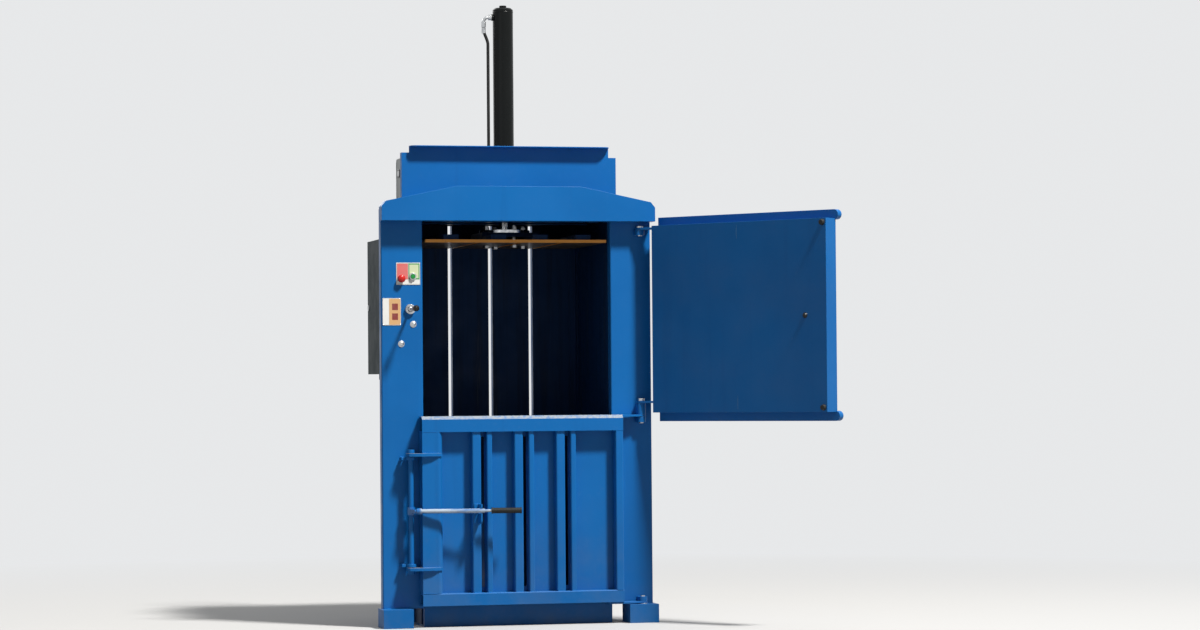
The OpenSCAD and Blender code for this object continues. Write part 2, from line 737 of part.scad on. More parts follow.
module hinge_pins() color(steel) translate([hinge_x, hinge_y, 0]) {
    translate([0, 0, foot_h]) cylinder(d = pin_d, h = lower_z + 21 - foot_h);
    translate([0, 0, foot_h]) cylinder(r = eye_r, h = low_arm_z - foot_h - hinge_gap);
    translate([0, 0, mid_arm_z - 26]) cylinder(d = pin_d, h = up_arm_z + arm_t + 6 - mid_arm_z + 26);
    translate([0, 0, up_arm_z + arm_t + hinge_gap]) cylinder(d = pin_d + 8, h = 10);
    translate([0, 0, top_arm_z - top_ear_h - 4]) cylinder(d = pin_d, h = top_ear_h + arm_t + 10);
    translate([0, 0, top_arm_z + arm_t + hinge_gap]) cylinder(d = pin_d + 8, h = 7);
}

// Hooks on the left post behind which the claws turn
claw_gap = 1;
claw_nose_r = 6;
lock_angle = 118;
keep_x = lock_x + claw_r * cos(lock_angle - lock_rest) - claw_nose_r - claw_gap;
claw_zs = [lug_high_z - 2 - lug_t, lug_low_z + lug_t + 2];
module lock_keepers() color(blue) for (z = claw_zs) translate([0, fy, z]) linear_extrude(lug_t) union() {
    translate([keep_x - 16, -27]) square([10, 27]);
    translate([keep_x - 16, -34]) square([16, 8]);
}

// The upper door is drawn closed and swung about its hinge line
module swing_door() {
    translate([hinge_x, hinge_y, 0]) rotate([0, 0, door_open]) translate([-hinge_x, -hinge_y, 0])
        children();
}

tray_x1 = hinge_x - tray_off;
tray_x0 = tray_x1 - tray_w;
bolt_in = 98;
bolt_z = tray_z + tray_h / 2;
module upper_door_tray() color(blue) swing_door() difference() {
    union() {
        difference() {
            translate([tray_x0, tray_y - tray_d, tray_z]) cube([tray_w, tray_d, tray_h]);
            translate([tray_x0 + tray_t, tray_y - tray_d - 1, tray_z + tray_t])
                cube([tray_w - 2 * tray_t, tray_d - tray_t + 1, tray_h - 2 * tray_t]);
        }
        translate([(tray_x0 + tray_x1) / 2 - 20, tray_y - tray_t, tray_z + tray_t])
            rotate([0, 0, -90]) stiffener(tray_d - tray_t - 1, tray_h - 2 * tray_t);
    }
    translate([tray_x0 + bolt_in, 0, bolt_z]) bore_y(12.4, tray_y - tray_t - 1, tray_t + 2);
}

// Z-shaped stiffener behind the inner face
module stiffener(depth, height) {
    cube([depth, tray_t, height]);
    translate([depth - tray_t, 0, 0]) cube([tray_t, 30, height]);
}

module upper_door_skin() color(blue) swing_door() difference() {
    translate([tray_x0, tray_y - tray_d - skin_t, tray_z + tray_t])
        cube([tray_w + 10, skin_t, tray_h - 2 * tray_t]);
    translate([tray_x0 + bolt_in, 0, bolt_z]) bore_y(12.4, tray_y - tray_d - skin_t - 1, skin_t + 2);
}

// Outer rails with round free ends, above and below the skin
module door_rail(z0) {
    x0 = tray_x0 - 14;
    x1 = tray_x1 + 14;
    r = rail_h / 2;
    translate([0, tray_y - tray_d, z0]) rotate([90, 0, 0]) difference() {
        linear_extrude(rail_d) union() {
            translate([x0 + r, 0]) square([x1 - x0 - r, rail_h]);
            translate([x0 + r, r]) circle(r);
        }
        translate([x0 + r, tray_t, tray_t])
            cube([x1 - x0 - r - tray_t, rail_h - 2 * tray_t, rail_d - 2 * tray_t]);
    }
}

module upper_door_rails() color(blue) swing_door() {
    door_rail(tray_z + tray_t - rail_h);
    door_rail(tray_z + tray_h - tray_t);
}

module hinge_arm_2d(x_end, y0, y1) {
    difference() {
        union() {
            circle(eye_r);
            polygon([[0, -eye_r], [0, eye_r], [x_end - hinge_x, y1 - hinge_y], [x_end - hinge_x, y0 - hinge_y]]);
        }
        circle(d = pin_d + pin_play);
    }
}

module hinge_arm(x_end, y0, y1, z0) {
    translate([hinge_x, hinge_y, z0]) linear_extrude(arm_t) hinge_arm_2d(x_end, y0, y1);
}

module upper_door_arms() color(blue) swing_door() for (z = [up_arm_z, top_arm_z])
    hinge_arm(tray_x1, tray_y - 46, tray_y, z);

buffer_h = 11;
module upper_door_buffers() color(black) swing_door()
    for (z = [tray_z + 17, tray_z + tray_h - 16]) translate([tray_x0 + 16, tray_y, z])
        rotate([-90, 0, 0]) cylinder(d1 = 24, d2 = 18, h = buffer_h);

// Mushroom knob outside, its stud through the door and a dome nut inside
module upper_door_knob() color(black) swing_door() translate([tray_x0 + bolt_in, tray_y, bolt_z]) {
    bore_y(12, -tray_d - skin_t - 2, tray_d + skin_t + 8);
    rotate([-90, 0, 0]) cylinder(d1 = 22, d2 = 12, h = 7);
    translate([0, -tray_d - skin_t, 0]) rotate([90, 0, 0]) rotate_extrude() polygon([
        [0, 0], [15, 0], [15, 4], [11, 10], [11, 18], [22, 28], [24, 34], [20, 41], [12, 44], [0, 45]]);
}

// Rail of the lower door, with a bevelled upper front edge
module bevel_rail(height, bevel) {
    x0 = -lower_left;
    translate([x0, lower_y, 0]) rotate([90, 0, 90]) linear_extrude(lower_left + lower_right) difference() {
        polygon([[0, 0], [frame_d, 0], [frame_d, height], [bevel, height], [0, height - bevel]]);
        translate([post_t, post_t]) polygon([[0, 0], [frame_d - 2 * post_t, 0],
            [frame_d - 2 * post_t, height - 2 * post_t], [bevel, height - 2 * post_t],
            [0, height - bevel - 2 * post_t]]);
    }
}

module lower_door_frame() color(blue) {
    z0 = lower_z + bottom_rail_h;
    h = lower_top - top_rail_h - z0;
    r = 20;
    translate([0, 0, lower_top - top_rail_h]) bevel_rail(top_rail_h, 12);
    translate([0, 0, lower_z]) bevel_rail(bottom_rail_h, 3);
    translate([-lower_left, lower_y, z0]) linear_extrude(h) difference() {
        union() {
            square([left_stile_w - r, frame_d]);
            translate([0, r]) square([left_stile_w, frame_d - r]);
            translate([left_stile_w - r, r]) circle(r);
        }
        translate([post_t, post_t]) square([left_stile_w - 2 * post_t - 6, frame_d - 2 * post_t]);
    }
    translate([lower_right - right_stile_w, lower_y, z0])
        folded(right_stile_w, frame_d, h, post_t, post_r);
}

panel_x0 = -lower_left + left_stile_w;
panel_x1 = lower_right - right_stile_w;
panel_z0 = lower_z + bottom_rail_h;
panel_z1 = lower_top - top_rail_h;
module lower_door_panel() color(blue) difference() {
    translate([panel_x0, panel_y, panel_z0]) cube([panel_x1 - panel_x0, panel_t, panel_z1 - panel_z0]);
    for (x = straps) translate([x - slot_w / 2, panel_y - 1, panel_z0 + 20])
        cube([slot_w, panel_t + 2, panel_z1 - panel_z0 - 40]);
}

module lower_door_channels() color(blue) for (x = straps)
    for (c = [[x - strap_gap / 2 - channel_l_w, channel_l_w], [x + strap_gap / 2, channel_r_w]])
        translate([c[0], lower_y + channel_in, panel_z0])
            folded(c[1], panel_in - channel_in, panel_z1 - panel_z0, rib_t, post_r);

module lower_door_arms() color(blue) {
    hinge_arm(lower_right, lower_y + 8, lower_y + frame_d - 2, mid_arm_z);
    hinge_arm(lower_right, lower_y + 8, lower_y + frame_d - 2, low_arm_z);
    translate([lower_right - 60, lower_y + 8, low_arm_z]) cube([60, frame_d - 10, arm_t]);
}

// Lug that reaches round the left stile and carries the lock shaft
module lug(z) {
    y0 = lower_y;
    translate([0, 0, z]) linear_extrude(lug_t) difference() {
        union() {
            translate([lock_x, lock_y]) circle(20);
            translate([lock_x, lock_y - 20]) square([lock_off, 20 + lower_gap + 32]);
            polygon([[-lower_left + left_stile_w - 2, y0], [-lower_left, y0], [-lower_left, y0 + 4],
                [lock_x - 18, lock_y - 12], [lock_x - 12, y0 - 8], [lock_x + 12, y0 - 17],
                [-lower_left + 2, y0 - 19], [-lower_left + 44, y0 - 13]]);
        }
        translate([lock_x, lock_y]) circle(d = lock_d + pin_play);
    }
}

module lock_lugs() color(blue) {
    lug(lug_high_z);
    lug(lug_low_z);
}

// Notched gusset on the first channel that takes the lever rod
fork_gap = lever_d + 5;
fork_len = 60;
fork_top = fork_gap / 2 + 13;
fork_low = fork_gap / 2 + 39;
module lever_rest() color(blue) translate([fork_x, lower_y + channel_in, lever_z]) {
    translate([-12, -4, -fork_low]) cube([24, 4, fork_top + fork_low]);
    translate([fork_off - fork_t / 2, 0, 0]) rotate([90, 0, 90]) linear_extrude(fork_t) polygon([
        [-4, fork_top], [-fork_len, fork_top], [-fork_len, fork_gap / 2], [-8, fork_gap / 2],
        [-8, -fork_gap / 2], [-fork_len, -fork_gap / 2], [-fork_len, -fork_low + 8],
        [-fork_len + 8, -fork_low], [-4, -fork_low]]);
}

module claw() {
    nose = [claw_r * cos(lock_angle), claw_r * sin(lock_angle)];
    side = [-sin(lock_angle), cos(lock_angle)];
    union() {
        circle(18);
        translate(nose) circle(claw_nose_r);
        polygon([nose + claw_nose_r * side, nose - claw_nose_r * side, -9 * side, 9 * side]);
    }
}

// Turns the lock out of its locked angle by its rest angle
module lock_turn() {
    translate([lock_x, lock_y, 0]) rotate([0, 0, -lock_rest]) children();
}

module lock_shaft() color(blue) lock_turn() {
    translate([0, 0, lug_low_z - 10]) cylinder(d = lock_d, h = lug_high_z + lug_t + 20 - lug_low_z);
    for (z = [lug_low_z - 14, lug_high_z + lug_t + 0.5]) translate([0, 0, z]) cylinder(d = lock_d + 8, h = 13.5);
    for (z = claw_zs) translate([0, 0, z]) linear_extrude(lug_t) claw();
}

hub_h = 30;
rod_from = 11;
module lock_lever() color(blue) lock_turn() translate([0, 0, lever_z]) {
    difference() {
        union() {
            translate([0, 0, -hub_h / 2]) cylinder(d = lock_d + 12, h = hub_h);
            translate([0, 0, -7]) linear_extrude(14) polygon([[-9, 2], [9, 2],
                [rod_from + 16, -lever_out + 2], [rod_from + 16, -lever_out - 2],
                [rod_from + 2, -lever_out - 2], [-9, -12]]);
        }
        translate([0, 0, -hub_h / 2 - 1]) cylinder(d = lock_d, h = hub_h + 2);
    }
    translate([0, -lever_out, 0]) rotate([0, 90, 0]) {
        translate([0, 0, rod_from]) cylinder(d = lever_d - 5, h = 10);
        translate([0, 0, rod_from + 8]) cylinder(d = lever_d + 7, h = 20);
        translate([0, 0, rod_from + 20]) cylinder(d = lever_d, h = rod_to - rod_from - 20);
        translate([0, 0, rod_to - 1]) cylinder(d = neck_d, h = grip_to - rod_to - 12);
    }
}

module lever_grip() color(black) lock_turn() translate([grip_from, -lever_out, lever_z]) rotate([0, 90, 0]) {
    difference() {
        union() {
            cylinder(d = 21, h = grip_to - grip_from - 3);
            for (z = [0, grip_to - grip_from - 6]) translate([0, 0, z]) cylinder(d = 24, h = 6);
        }
        translate([0, 0, -1]) cylinder(d = neck_d + 0.2, h = grip_to - grip_from - 8);
    }
}

function bolt_spots() = [for (k = [0:3]) [rod_bolt_r * cos(bolt_turn + 90 * k), rod_bolt_r * sin(bolt_turn + 90 * k)]];
module ram_rod() color(steel) at_ram() {
    difference() {
        translate([0, 0, flange_z]) cylinder(d = 2 * rod_bolt_r + 40, h = flange_t);
        for (p = bolt_spots()) translate([p[0], p[1], flange_z - 1])
            cylinder(d = platen_bolt_d + 1, h = flange_t + 2);
    }
    translate([0, 0, flange_z]) cylinder(d = rod_d, h = piston_z - flange_z + 5);
    translate([0, 0, piston_z]) cylinder(d = barrel_id - 0.4, h = 30);
}

platen_back = rear_y - platen_gap;
module platen() color(orange) difference() {
    translate([-platen_w / 2, platen_front, platen_z]) cube([platen_w, platen_back - platen_front, platen_t]);
    for (x = straps) translate([x - slot_w / 2, platen_front + 18, platen_z - 1])
        cube([slot_w, platen_back - platen_front, platen_t + 2]);
    for (side = [-1, 1]) translate([side * platen_w / 2, platen_back, platen_z + platen_t / 2])
        cube([2 * (guide_w + 4 - in_x + platen_w / 2), 2 * (guide_w + 4 - platen_gap), platen_t + 2], center = true);
    at_ram() for (p = bolt_spots()) translate([p[0], p[1], platen_z - 1])
        cylinder(d = platen_bolt_d + 1, h = platen_t + 2);
}

bar_w = 60;
bar_xs = [(-platen_w / 2 + straps[0]) / 2, (straps[0] + straps[1]) / 2, (straps[1] + straps[2]) / 2,
    (platen_w / 2 + straps[2]) / 2];
module platen_bars() color(blue) difference() {
    union() {
        for (x = bar_xs) translate([x - bar_w / 2, platen_front + 20, platen_z + platen_t])
            cube([bar_w, platen_back - platen_front - 60, bar_h]);
        translate([bar_xs[1] - bar_w / 2, ram_y - 110, plate_z])
            cube([bar_xs[2] - bar_xs[1] + bar_w, 220, plate_t]);
    }
    at_ram() for (p = bolt_spots()) translate([p[0], p[1], platen_z])
        cylinder(d = platen_bolt_d + 1, h = 80);
}

module platen_bolts() color(steel) at_ram() for (p = bolt_spots()) translate([p[0], p[1], 0]) {
    translate([0, 0, platen_z - 10]) hex(26, 10);
    translate([0, 0, platen_z - 10]) cylinder(d = platen_bolt_d, h = flange_z + flange_t + 18 - platen_z + 10);
    translate([0, 0, flange_z + flange_t]) hex(26, 13);
}

bezel_front = fy - label_t - bezel_h;
module stop_button() color([0.75, 0.1, 0.08]) translate([-stop_x, bezel_front, stop_z]) {
    bore_y(18, -press - 2, press + 26);
    rotate([90, 0, 0]) translate([0, 0, press + 2]) rotate_extrude() polygon([
        [0, 0], [15, 0], [15, 4], [13, 8], [9, 10], [0, 11]]);
}

module start_button() color([0.1, 0.55, 0.2]) translate([-start_x, bezel_front, start_z])
    bore_y(18, -press - 1, press + 24);

valve_pivot_y = fy - 7;
module valve_lever() color(steel) translate([-valve_x, valve_pivot_y, valve_z]) {
    sphere(d = 21);
    rotate([0, 90, 0]) cylinder(d = 6, h = 20.8, center = true);
    bore_y(10, -valve_reach + 40, valve_reach - 40);
}

module valve_knob() color(black) translate([-valve_x, valve_pivot_y, valve_z]) rotate([90, 0, 0])
    translate([0, 0, valve_reach - 40]) rotate_extrude() polygon([
        [0, 0], [7, 0], [11, 10], [12, 28], [10, 35], [6, 39], [0, 40]]);

module cabinet_door() color([0.17, 0.2, 0.21]) difference() {
    gap = 0.5;
    x1 = cab_back - cab_d - gap;
    union() {
        difference() {
            translate([x1 - 9.5, cab_y, cab_z]) cube([9.5, cab_w, cab_h]);
            translate([x1 - 9.5 + cab_t, cab_y + cab_t, cab_z + cab_t])
                cube([10, cab_w - 2 * cab_t, cab_h - 2 * cab_t]);
        }
        for (z = cab_hinges) {
            translate([cab_pin_x, cab_pin_y, z]) cylinder(d = cab_eye_d, h = 20);
            translate([x1 - 9.5, cab_pin_y, z]) cube([cab_t, 5 + cab_t, 20]);
        }
    }
    for (z = cab_hinges) translate([cab_pin_x, cab_pin_y, z - 1]) cylinder(d = 6.4, h = 22);
    translate([x1 - 12, lock_at[0], lock_at[1]]) rotate([0, 90, 0]) cylinder(d = 16.6, h = 20);
}

module cabinet_lock() color(steel) translate([cab_back - cab_d, lock_at[0], lock_at[1]]) {
    difference() {
        translate([-13.5, 0, 0]) rotate([0, 90, 0]) cylinder(d = 24, h = 3.2);
        translate([-14, -1.5, -8]) cube([2.5, 3, 16]);
    }
    translate([-11, 0, 0]) rotate([0, 90, 0]) cylinder(d = 16, h = 14);
    translate([3, -7, -8]) cube([3, 14, 28]);
}

base_frame();
chamber_floor();
front_feet();
left_post();
right_post();
left_wall();
right_wall();
side_ribs();
rear_wall();
rear_ribs();
guide_rails();
header();
cross_beams();
deck_plate();
top_fascia();
cylinder_barrel();
cylinder_cap();
cylinder_gland();
hoses();
hose_fittings();
oil_tank();
tank_fittings();
motor();
pump();
spool_valve();
valve_pipes();
control_bezels();
control_plate();
info_plate();
frame_bolts();
cabinet_body();
cabinet_conduit();
hinge_brackets();
hinge_pins();
lock_keepers();
upper_door_tray();
upper_door_skin();
upper_door_rails();
upper_door_arms();
upper_door_buffers();
upper_door_knob();
lower_door_frame();
lower_door_panel();
lower_door_channels();
lower_door_arms();
lock_lugs();
lever_rest();
lock_shaft();
lock_lever();
lever_grip();
ram_rod();
platen();
platen_bars();
platen_bolts();
stop_button();
start_button();
valve_lever();
valve_knob();
cabinet_door();
cabinet_lock();
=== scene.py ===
"""Vertical recycling baler: paint, metal, welds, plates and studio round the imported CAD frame."""

import json
import math

import bmesh
import bpy
from mathutils import Matrix, Vector, noise


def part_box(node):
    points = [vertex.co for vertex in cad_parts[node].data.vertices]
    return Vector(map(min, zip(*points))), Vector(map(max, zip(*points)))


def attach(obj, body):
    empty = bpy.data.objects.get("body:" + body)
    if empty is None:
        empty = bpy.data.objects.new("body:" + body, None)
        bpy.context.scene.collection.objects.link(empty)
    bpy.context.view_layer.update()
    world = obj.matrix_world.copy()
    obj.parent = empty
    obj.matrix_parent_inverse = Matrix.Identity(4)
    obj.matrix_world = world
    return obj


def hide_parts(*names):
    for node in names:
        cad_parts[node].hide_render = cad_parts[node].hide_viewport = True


bl_info = {
    "name": "Recycling Baler",
    "version": (1, 0, 0),
    "blender": (4, 5, 0),
    "location": "View3D > Sidebar > Baler",
    "description": "Dresses the baler's frame in paint, bright metal, welds, plates and rubber",
    "category": "Object",
}

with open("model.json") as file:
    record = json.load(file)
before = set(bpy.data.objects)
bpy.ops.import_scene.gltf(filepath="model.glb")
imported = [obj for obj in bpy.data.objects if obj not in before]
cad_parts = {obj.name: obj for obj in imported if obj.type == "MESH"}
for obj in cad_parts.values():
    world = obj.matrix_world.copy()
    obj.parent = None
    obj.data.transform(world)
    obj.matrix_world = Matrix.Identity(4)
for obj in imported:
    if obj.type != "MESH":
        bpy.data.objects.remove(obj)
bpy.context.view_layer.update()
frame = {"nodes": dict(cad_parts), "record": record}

MM = 0.001
PHOTO_WIDTH = 1200
SENSOR_WIDTH = 36.0
JOINTS = {joint["name"]: joint for joint in frame["record"]["behaviour"]["joints"]}

# Height of the cylinder's flange over the deck, and how far the lock lever's painted hub reaches
FLANGE = 20 * MM
HUB_REACH = 22 * MM

# Degrees of fold from which a CAD node's edges are rounded, and from which a new piece's stay sharp
ROUNDED_FROM = 32
SHARP_FROM = 35


def turn_about(name, degrees):
    """Matrix of a turn about the upright axis of a joint."""
    at = Vector(JOINTS[name]["pos_m"])
    return Matrix.Translation(at) @ Matrix.Rotation(math.radians(degrees), 4, "Z") @ Matrix.Translation(-at)


# The upper door stands open and the lever a little short of locked: these turns bring them from closed
DOOR_TURN = turn_about("upper_door", -JOINTS["upper_door"]["range_deg"][0])
LEVER_TURN = turn_about("lock_lever", -JOINTS["lock_lever"]["range_deg"][1])

# CAD nodes by their finish: folded sheet metal, metal pieces and units, and rubber, plastic and prints
SHEET_METAL = {
    "coat": [
        "left_post", "right_post", "header", "cross_beams", "top_fascia", "hinge_brackets", "lock_keepers",
        "side_ribs", "rear_ribs", "deck_plate", "upper_door_tray", "upper_door_skin", "upper_door_rails",
        "upper_door_arms", "lower_door_arms", "lever_rest", "lock_shaft",
    ],
    "door": ["lower_door_panel", "lower_door_channels"],
    "loading_edge": ["lower_door_frame"],
    "lug": ["lock_lugs"],
    "chamber": ["rear_wall", "left_wall", "right_wall", "guide_rails", "platen_bars"],
    "foot": ["base_frame", "front_feet", "chamber_floor"],
    "platen": ["platen"],
}
METAL = {
    "steel": [
        "hinge_pins", "frame_bolts", "hose_fittings", "valve_pipes", "control_bezels", "valve_lever",
        "cabinet_lock", "platen_bolts", "cylinder_gland",
    ],
    "lever": ["lock_lever"],
    "rod": ["ram_rod"],
    "cylinder": ["cylinder_barrel", "cylinder_cap"],
    "cast": ["pump", "spool_valve"],
    "motor": ["motor"],
    "tank": ["oil_tank"],
    "cabinet": ["cabinet_body", "cabinet_door"],
}
RUBBER_AND_PLASTIC = {
    "rubber": ["upper_door_buffers", "lever_grip"],
    "knob": ["upper_door_knob", "valve_knob", "tank_fittings"],
    "red": ["stop_button"],
    "green": ["start_button"],
    "conduit": ["cabinet_conduit"],
    "plate": ["control_plate", "info_plate"],
    "hose": ["hoses"],
}

# Colours of the printed fields
PRINTS = {
    "rose_field": (0.66, 0.15, 0.14), "cream_field": (0.60, 0.66, 0.42), "green_field": (0.05, 0.30, 0.09),
    "white_field": (0.78, 0.78, 0.75), "amber_field": (0.64, 0.38, 0.17), "maroon_field": (0.22, 0.035, 0.03),
}


class PaintSettings(bpy.types.PropertyGroup):
    coat: bpy.props.FloatVectorProperty(
        name="Machine blue", description="Colour of the machine's coat", subtype="COLOR", size=3,
        default=(0.0035, 0.128, 0.400), min=0, max=1)
    deep: bpy.props.FloatVectorProperty(
        name="Deep blue", description="Colour of the coat where it lies thick or is stained", subtype="COLOR",
        size=3, default=(0.0030, 0.098, 0.320), min=0, max=1)
    # Chamber blue is far darker than the machine blue: partly dull worn paint, partly painted shade for the
    # inside of the chamber
    chamber: bpy.props.FloatVectorProperty(
        name="Chamber blue", description="Colour of the coat inside the chamber", subtype="COLOR", size=3,
        default=(0.0030, 0.022, 0.075), min=0, max=1)
    platen: bpy.props.FloatVectorProperty(
        name="Platen orange", description="Colour of the platen", subtype="COLOR", size=3,
        default=(0.70, 0.28, 0.030), min=0, max=1)
    cabinet: bpy.props.FloatVectorProperty(
        name="Cabinet grey", description="Colour of the electrical cabinet", subtype="COLOR", size=3,
        default=(0.022, 0.032, 0.036), min=0, max=1)
    tank: bpy.props.FloatVectorProperty(
        name="Tank grey", description="Colour of the oil tank", subtype="COLOR", size=3,
        default=(0.33, 0.355, 0.355), min=0, max=1)
    wear: bpy.props.FloatProperty(
        name="Wear", description="How much of the coat is chipped and dusty", default=0.5, min=0, max=1,
        subtype="FACTOR")


class EdgeSettings(bpy.types.PropertyGroup):
    sheet: bpy.props.FloatProperty(
        name="Sheet edge", description="Rounding of cut and folded sheet edges", default=0.9 * MM,
        min=0, max=3 * MM, subtype="DISTANCE", unit="LENGTH")
    small: bpy.props.FloatProperty(
        name="Small edge", description="Rounding of bolts, buttons and other small pieces", default=0.5 * MM,
        min=0, max=2 * MM, subtype="DISTANCE", unit="LENGTH")
    bead: bpy.props.FloatProperty(
        name="Weld bead", description="Radius of the weld beads", default=3.0 * MM, min=1 * MM, max=6 * MM,
        subtype="DISTANCE", unit="LENGTH")


class StageSettings(bpy.types.PropertyGroup):
    floor: bpy.props.FloatVectorProperty(
        name="Floor", description="Colour of the studio floor", subtype="COLOR", size=3,
        default=(0.50, 0.50, 0.495), min=0, max=1)
    key: bpy.props.FloatProperty(
        name="Key light", description="Power of the high lamp in front at the right", default=4900, min=0,
        max=9000, unit="POWER")
    fill: bpy.props.FloatProperty(
        name="Fill light", description="Power of the wide lamp at the left", default=22, min=0, max=5000,
        unit="POWER")
    back: bpy.props.FloatProperty(
        name="Back light", description="Power of the lamp behind the machine", default=180, min=0, max=5000,
        unit="POWER")
    sky: bpy.props.FloatProperty(
        name="Room light", description="Strength of the even light of the room", default=0.14, min=0, max=2)


def preset(node, values):
    """Sets sockets of a node by name."""
    for socket, value in values.items():
        node.inputs[socket].default_value = value


def mixed(tree, share, below, above):
    """Mixes two shaders."""
    node = tree.nodes.new("ShaderNodeMixShader")
    for socket, value in zip(node.inputs, (share, below, above)):
        tree.links.new(value, socket)
    return node.outputs["Shader"]


def combined(tree, operation, a, b):
    """Joins two values, each a number or a socket, in a Math node."""
    node = tree.nodes.new("ShaderNodeMath")
    node.operation = operation
    for socket, value in zip(node.inputs, (a, b)):
        if isinstance(value, (int, float)):
            socket.default_value = value
        else:
            tree.links.new(value, socket)
    return node.outputs["Value"]


class Recipe:
    """A material under construction: its Principled shader and helpers that wire nodes to it."""

    # A Mix node's colour sockets share their names with its number sockets, so they go by place
    mix_factor, mix_below, mix_above, mix_result = 0, 6, 7, 2

    def __init__(self, name, colour, roughness, metallic=0.0, coat=0.0, specular=0.5):
        self.material = bpy.data.materials.new(name)
        self.material.use_nodes = True
        self.material.diffuse_color = (*colour, 1)
        self.tree = self.material.node_tree
        self.nodes, self.links = self.tree.nodes, self.tree.links
        self.shader = self.nodes["Principled BSDF"]
        preset(self.shader, {"Base Color": (*colour, 1), "Roughness": roughness, "Metallic": metallic,
                             "Coat Weight": coat, "Specular IOR Level": specular})
        self.colour = None
        self.place = self.nodes.new("ShaderNodeTexCoord").outputs["Object"]

    def grain(self, scale, detail, vector=None, roughness=0.55):
        node = self.nodes.new("ShaderNodeTexNoise")
        preset(node, {"Scale": scale, "Detail": detail, "Roughness": roughness})
        self.links.new(vector or self.place, node.inputs["Vector"])
        return node.outputs["Fac"]

    def streaks(self, scale, detail, roughness=0.55):
        """Grain drawn out along the axis whose scale is the lowest of the three."""
        mapping = self.nodes.new("ShaderNodeMapping")
        preset(mapping, {"Scale": scale})
        self.links.new(self.place, mapping.inputs["Vector"])
        return self.grain(1.0, detail, mapping.outputs["Vector"], roughness)

    def ranged(self, value, low, high, to_low=0.0, to_high=1.0):
        node = self.nodes.new("ShaderNodeMapRange")
        preset(node, {"From Min": low, "From Max": high, "To Min": to_low, "To Max": to_high})
        self.links.new(value, node.inputs["Value"])
        return node.outputs["Result"]

    def along(self, axis, vector=None):
        """The X, Y or Z of the place, or of another vector."""
        split = self.nodes.new("ShaderNodeSeparateXYZ")
        self.links.new(vector or self.place, split.inputs["Vector"])
        return split.outputs[axis]

    def by_height(self, full, none):
        """1 at the first height, going to 0 at the second."""
        return self.ranged(self.along("Z"), full, none, 1.0, 0.0)

    def facing(self, low, high):
        """0 to 1 as a face's upward lean goes from low to high: -1 is an underside, 1 a top."""
        normal = self.nodes.new("ShaderNodeTexCoord").outputs["Normal"]
        return self.ranged(self.along("Z", normal), low, high)

    def times(self, a, b):
        return combined(self.tree, "MULTIPLY", a, b)

    def over(self, colour, mask):
        """Lays a colour over what is there, where the mask is high."""
        node = self.nodes.new("ShaderNodeMix")
        node.data_type = "RGBA"
        below = node.inputs[self.mix_below]
        if self.colour is None:
            below.default_value = self.shader.inputs["Base Color"].default_value
        else:
            self.links.new(self.colour, below)
        node.inputs[self.mix_above].default_value = (*colour, 1)
        self.links.new(mask, node.inputs[self.mix_factor])
        self.colour = node.outputs[self.mix_result]
        self.links.new(self.colour, self.shader.inputs["Base Color"])

    def gloss(self, value, low, high):
        """Lets the roughness drift between two values with a grain, which mostly keeps to 0.3 to 0.7."""
        self.links.new(self.ranged(value, 0.3, 0.7, low, high), self.shader.inputs["Roughness"])

    def relief(self, value, depth, strength):
        node = self.nodes.new("ShaderNodeBump")
        preset(node, {"Distance": depth, "Strength": strength})
        self.links.new(value, node.inputs["Height"])
        self.links.new(node.outputs["Normal"], self.shader.inputs["Normal"])


def toned(colour, share, lift=0.0):
    """A share of a colour, lifted towards white."""
    return tuple(share * c + lift for c in colour)


def sprayed_paint(name, paint, worn=1.0, dusty_below=0.25, shine=0.36, tone=1.0, highlight_above=None):
    """Powder coat on sheet steel: cloudy tone, run marks, dust near the floor and small bright chips.

    Tops above a given height can get a painted highlight: a pale colour on the faces that look up, where the
    light catches them.
    """
    coat, deep, wear = toned(paint.coat, tone), tuple(paint.deep), worn * paint.wear
    dust, chip, rubbing_and_highlight = (0.13, 0.15, 0.17), (0.34, 0.36, 0.38), (0.30, 0.335, 0.37)
    r = Recipe(name, coat, shine, specular=0.22)
    r.over(deep, r.ranged(r.grain(1.7, 5), 0.42, 0.75, 0.0, 0.75))
    r.over(deep, r.ranged(r.streaks((22, 22, 1.1), 5), 0.58, 0.78, 0.0, 0.45))
    r.over(toned(coat, 0.7, 0.07), r.times(r.ranged(r.grain(55, 8), 0.58, 0.80), 0.20 * wear))
    low_down = r.times(r.by_height(0.0, dusty_below), r.ranged(r.grain(9, 6), 0.35, 0.7))
    r.over(dust, r.times(low_down, 0.34 * wear))
    scrape = r.streaks((60, 60, 5), 7, 0.7)
    r.over(chip, r.times(r.ranged(scrape, 0.715, 0.74), 0.8 * wear))
    # Painted highlight: pale colour laid on up-facing faces above the given height
    if highlight_above is not None:
        edge = r.times(r.facing(0.3, 0.6), r.by_height(highlight_above + 4 * MM, highlight_above))
        r.over(rubbing_and_highlight, r.times(edge, r.ranged(r.grain(70, 7), 0.30, 0.56, 0.3, 0.95)))
    r.gloss(r.grain(6, 5), shine - 0.07, shine + 0.16)
    r.relief(r.grain(420, 2), 0.12 * MM, 0.5)
    return r.material


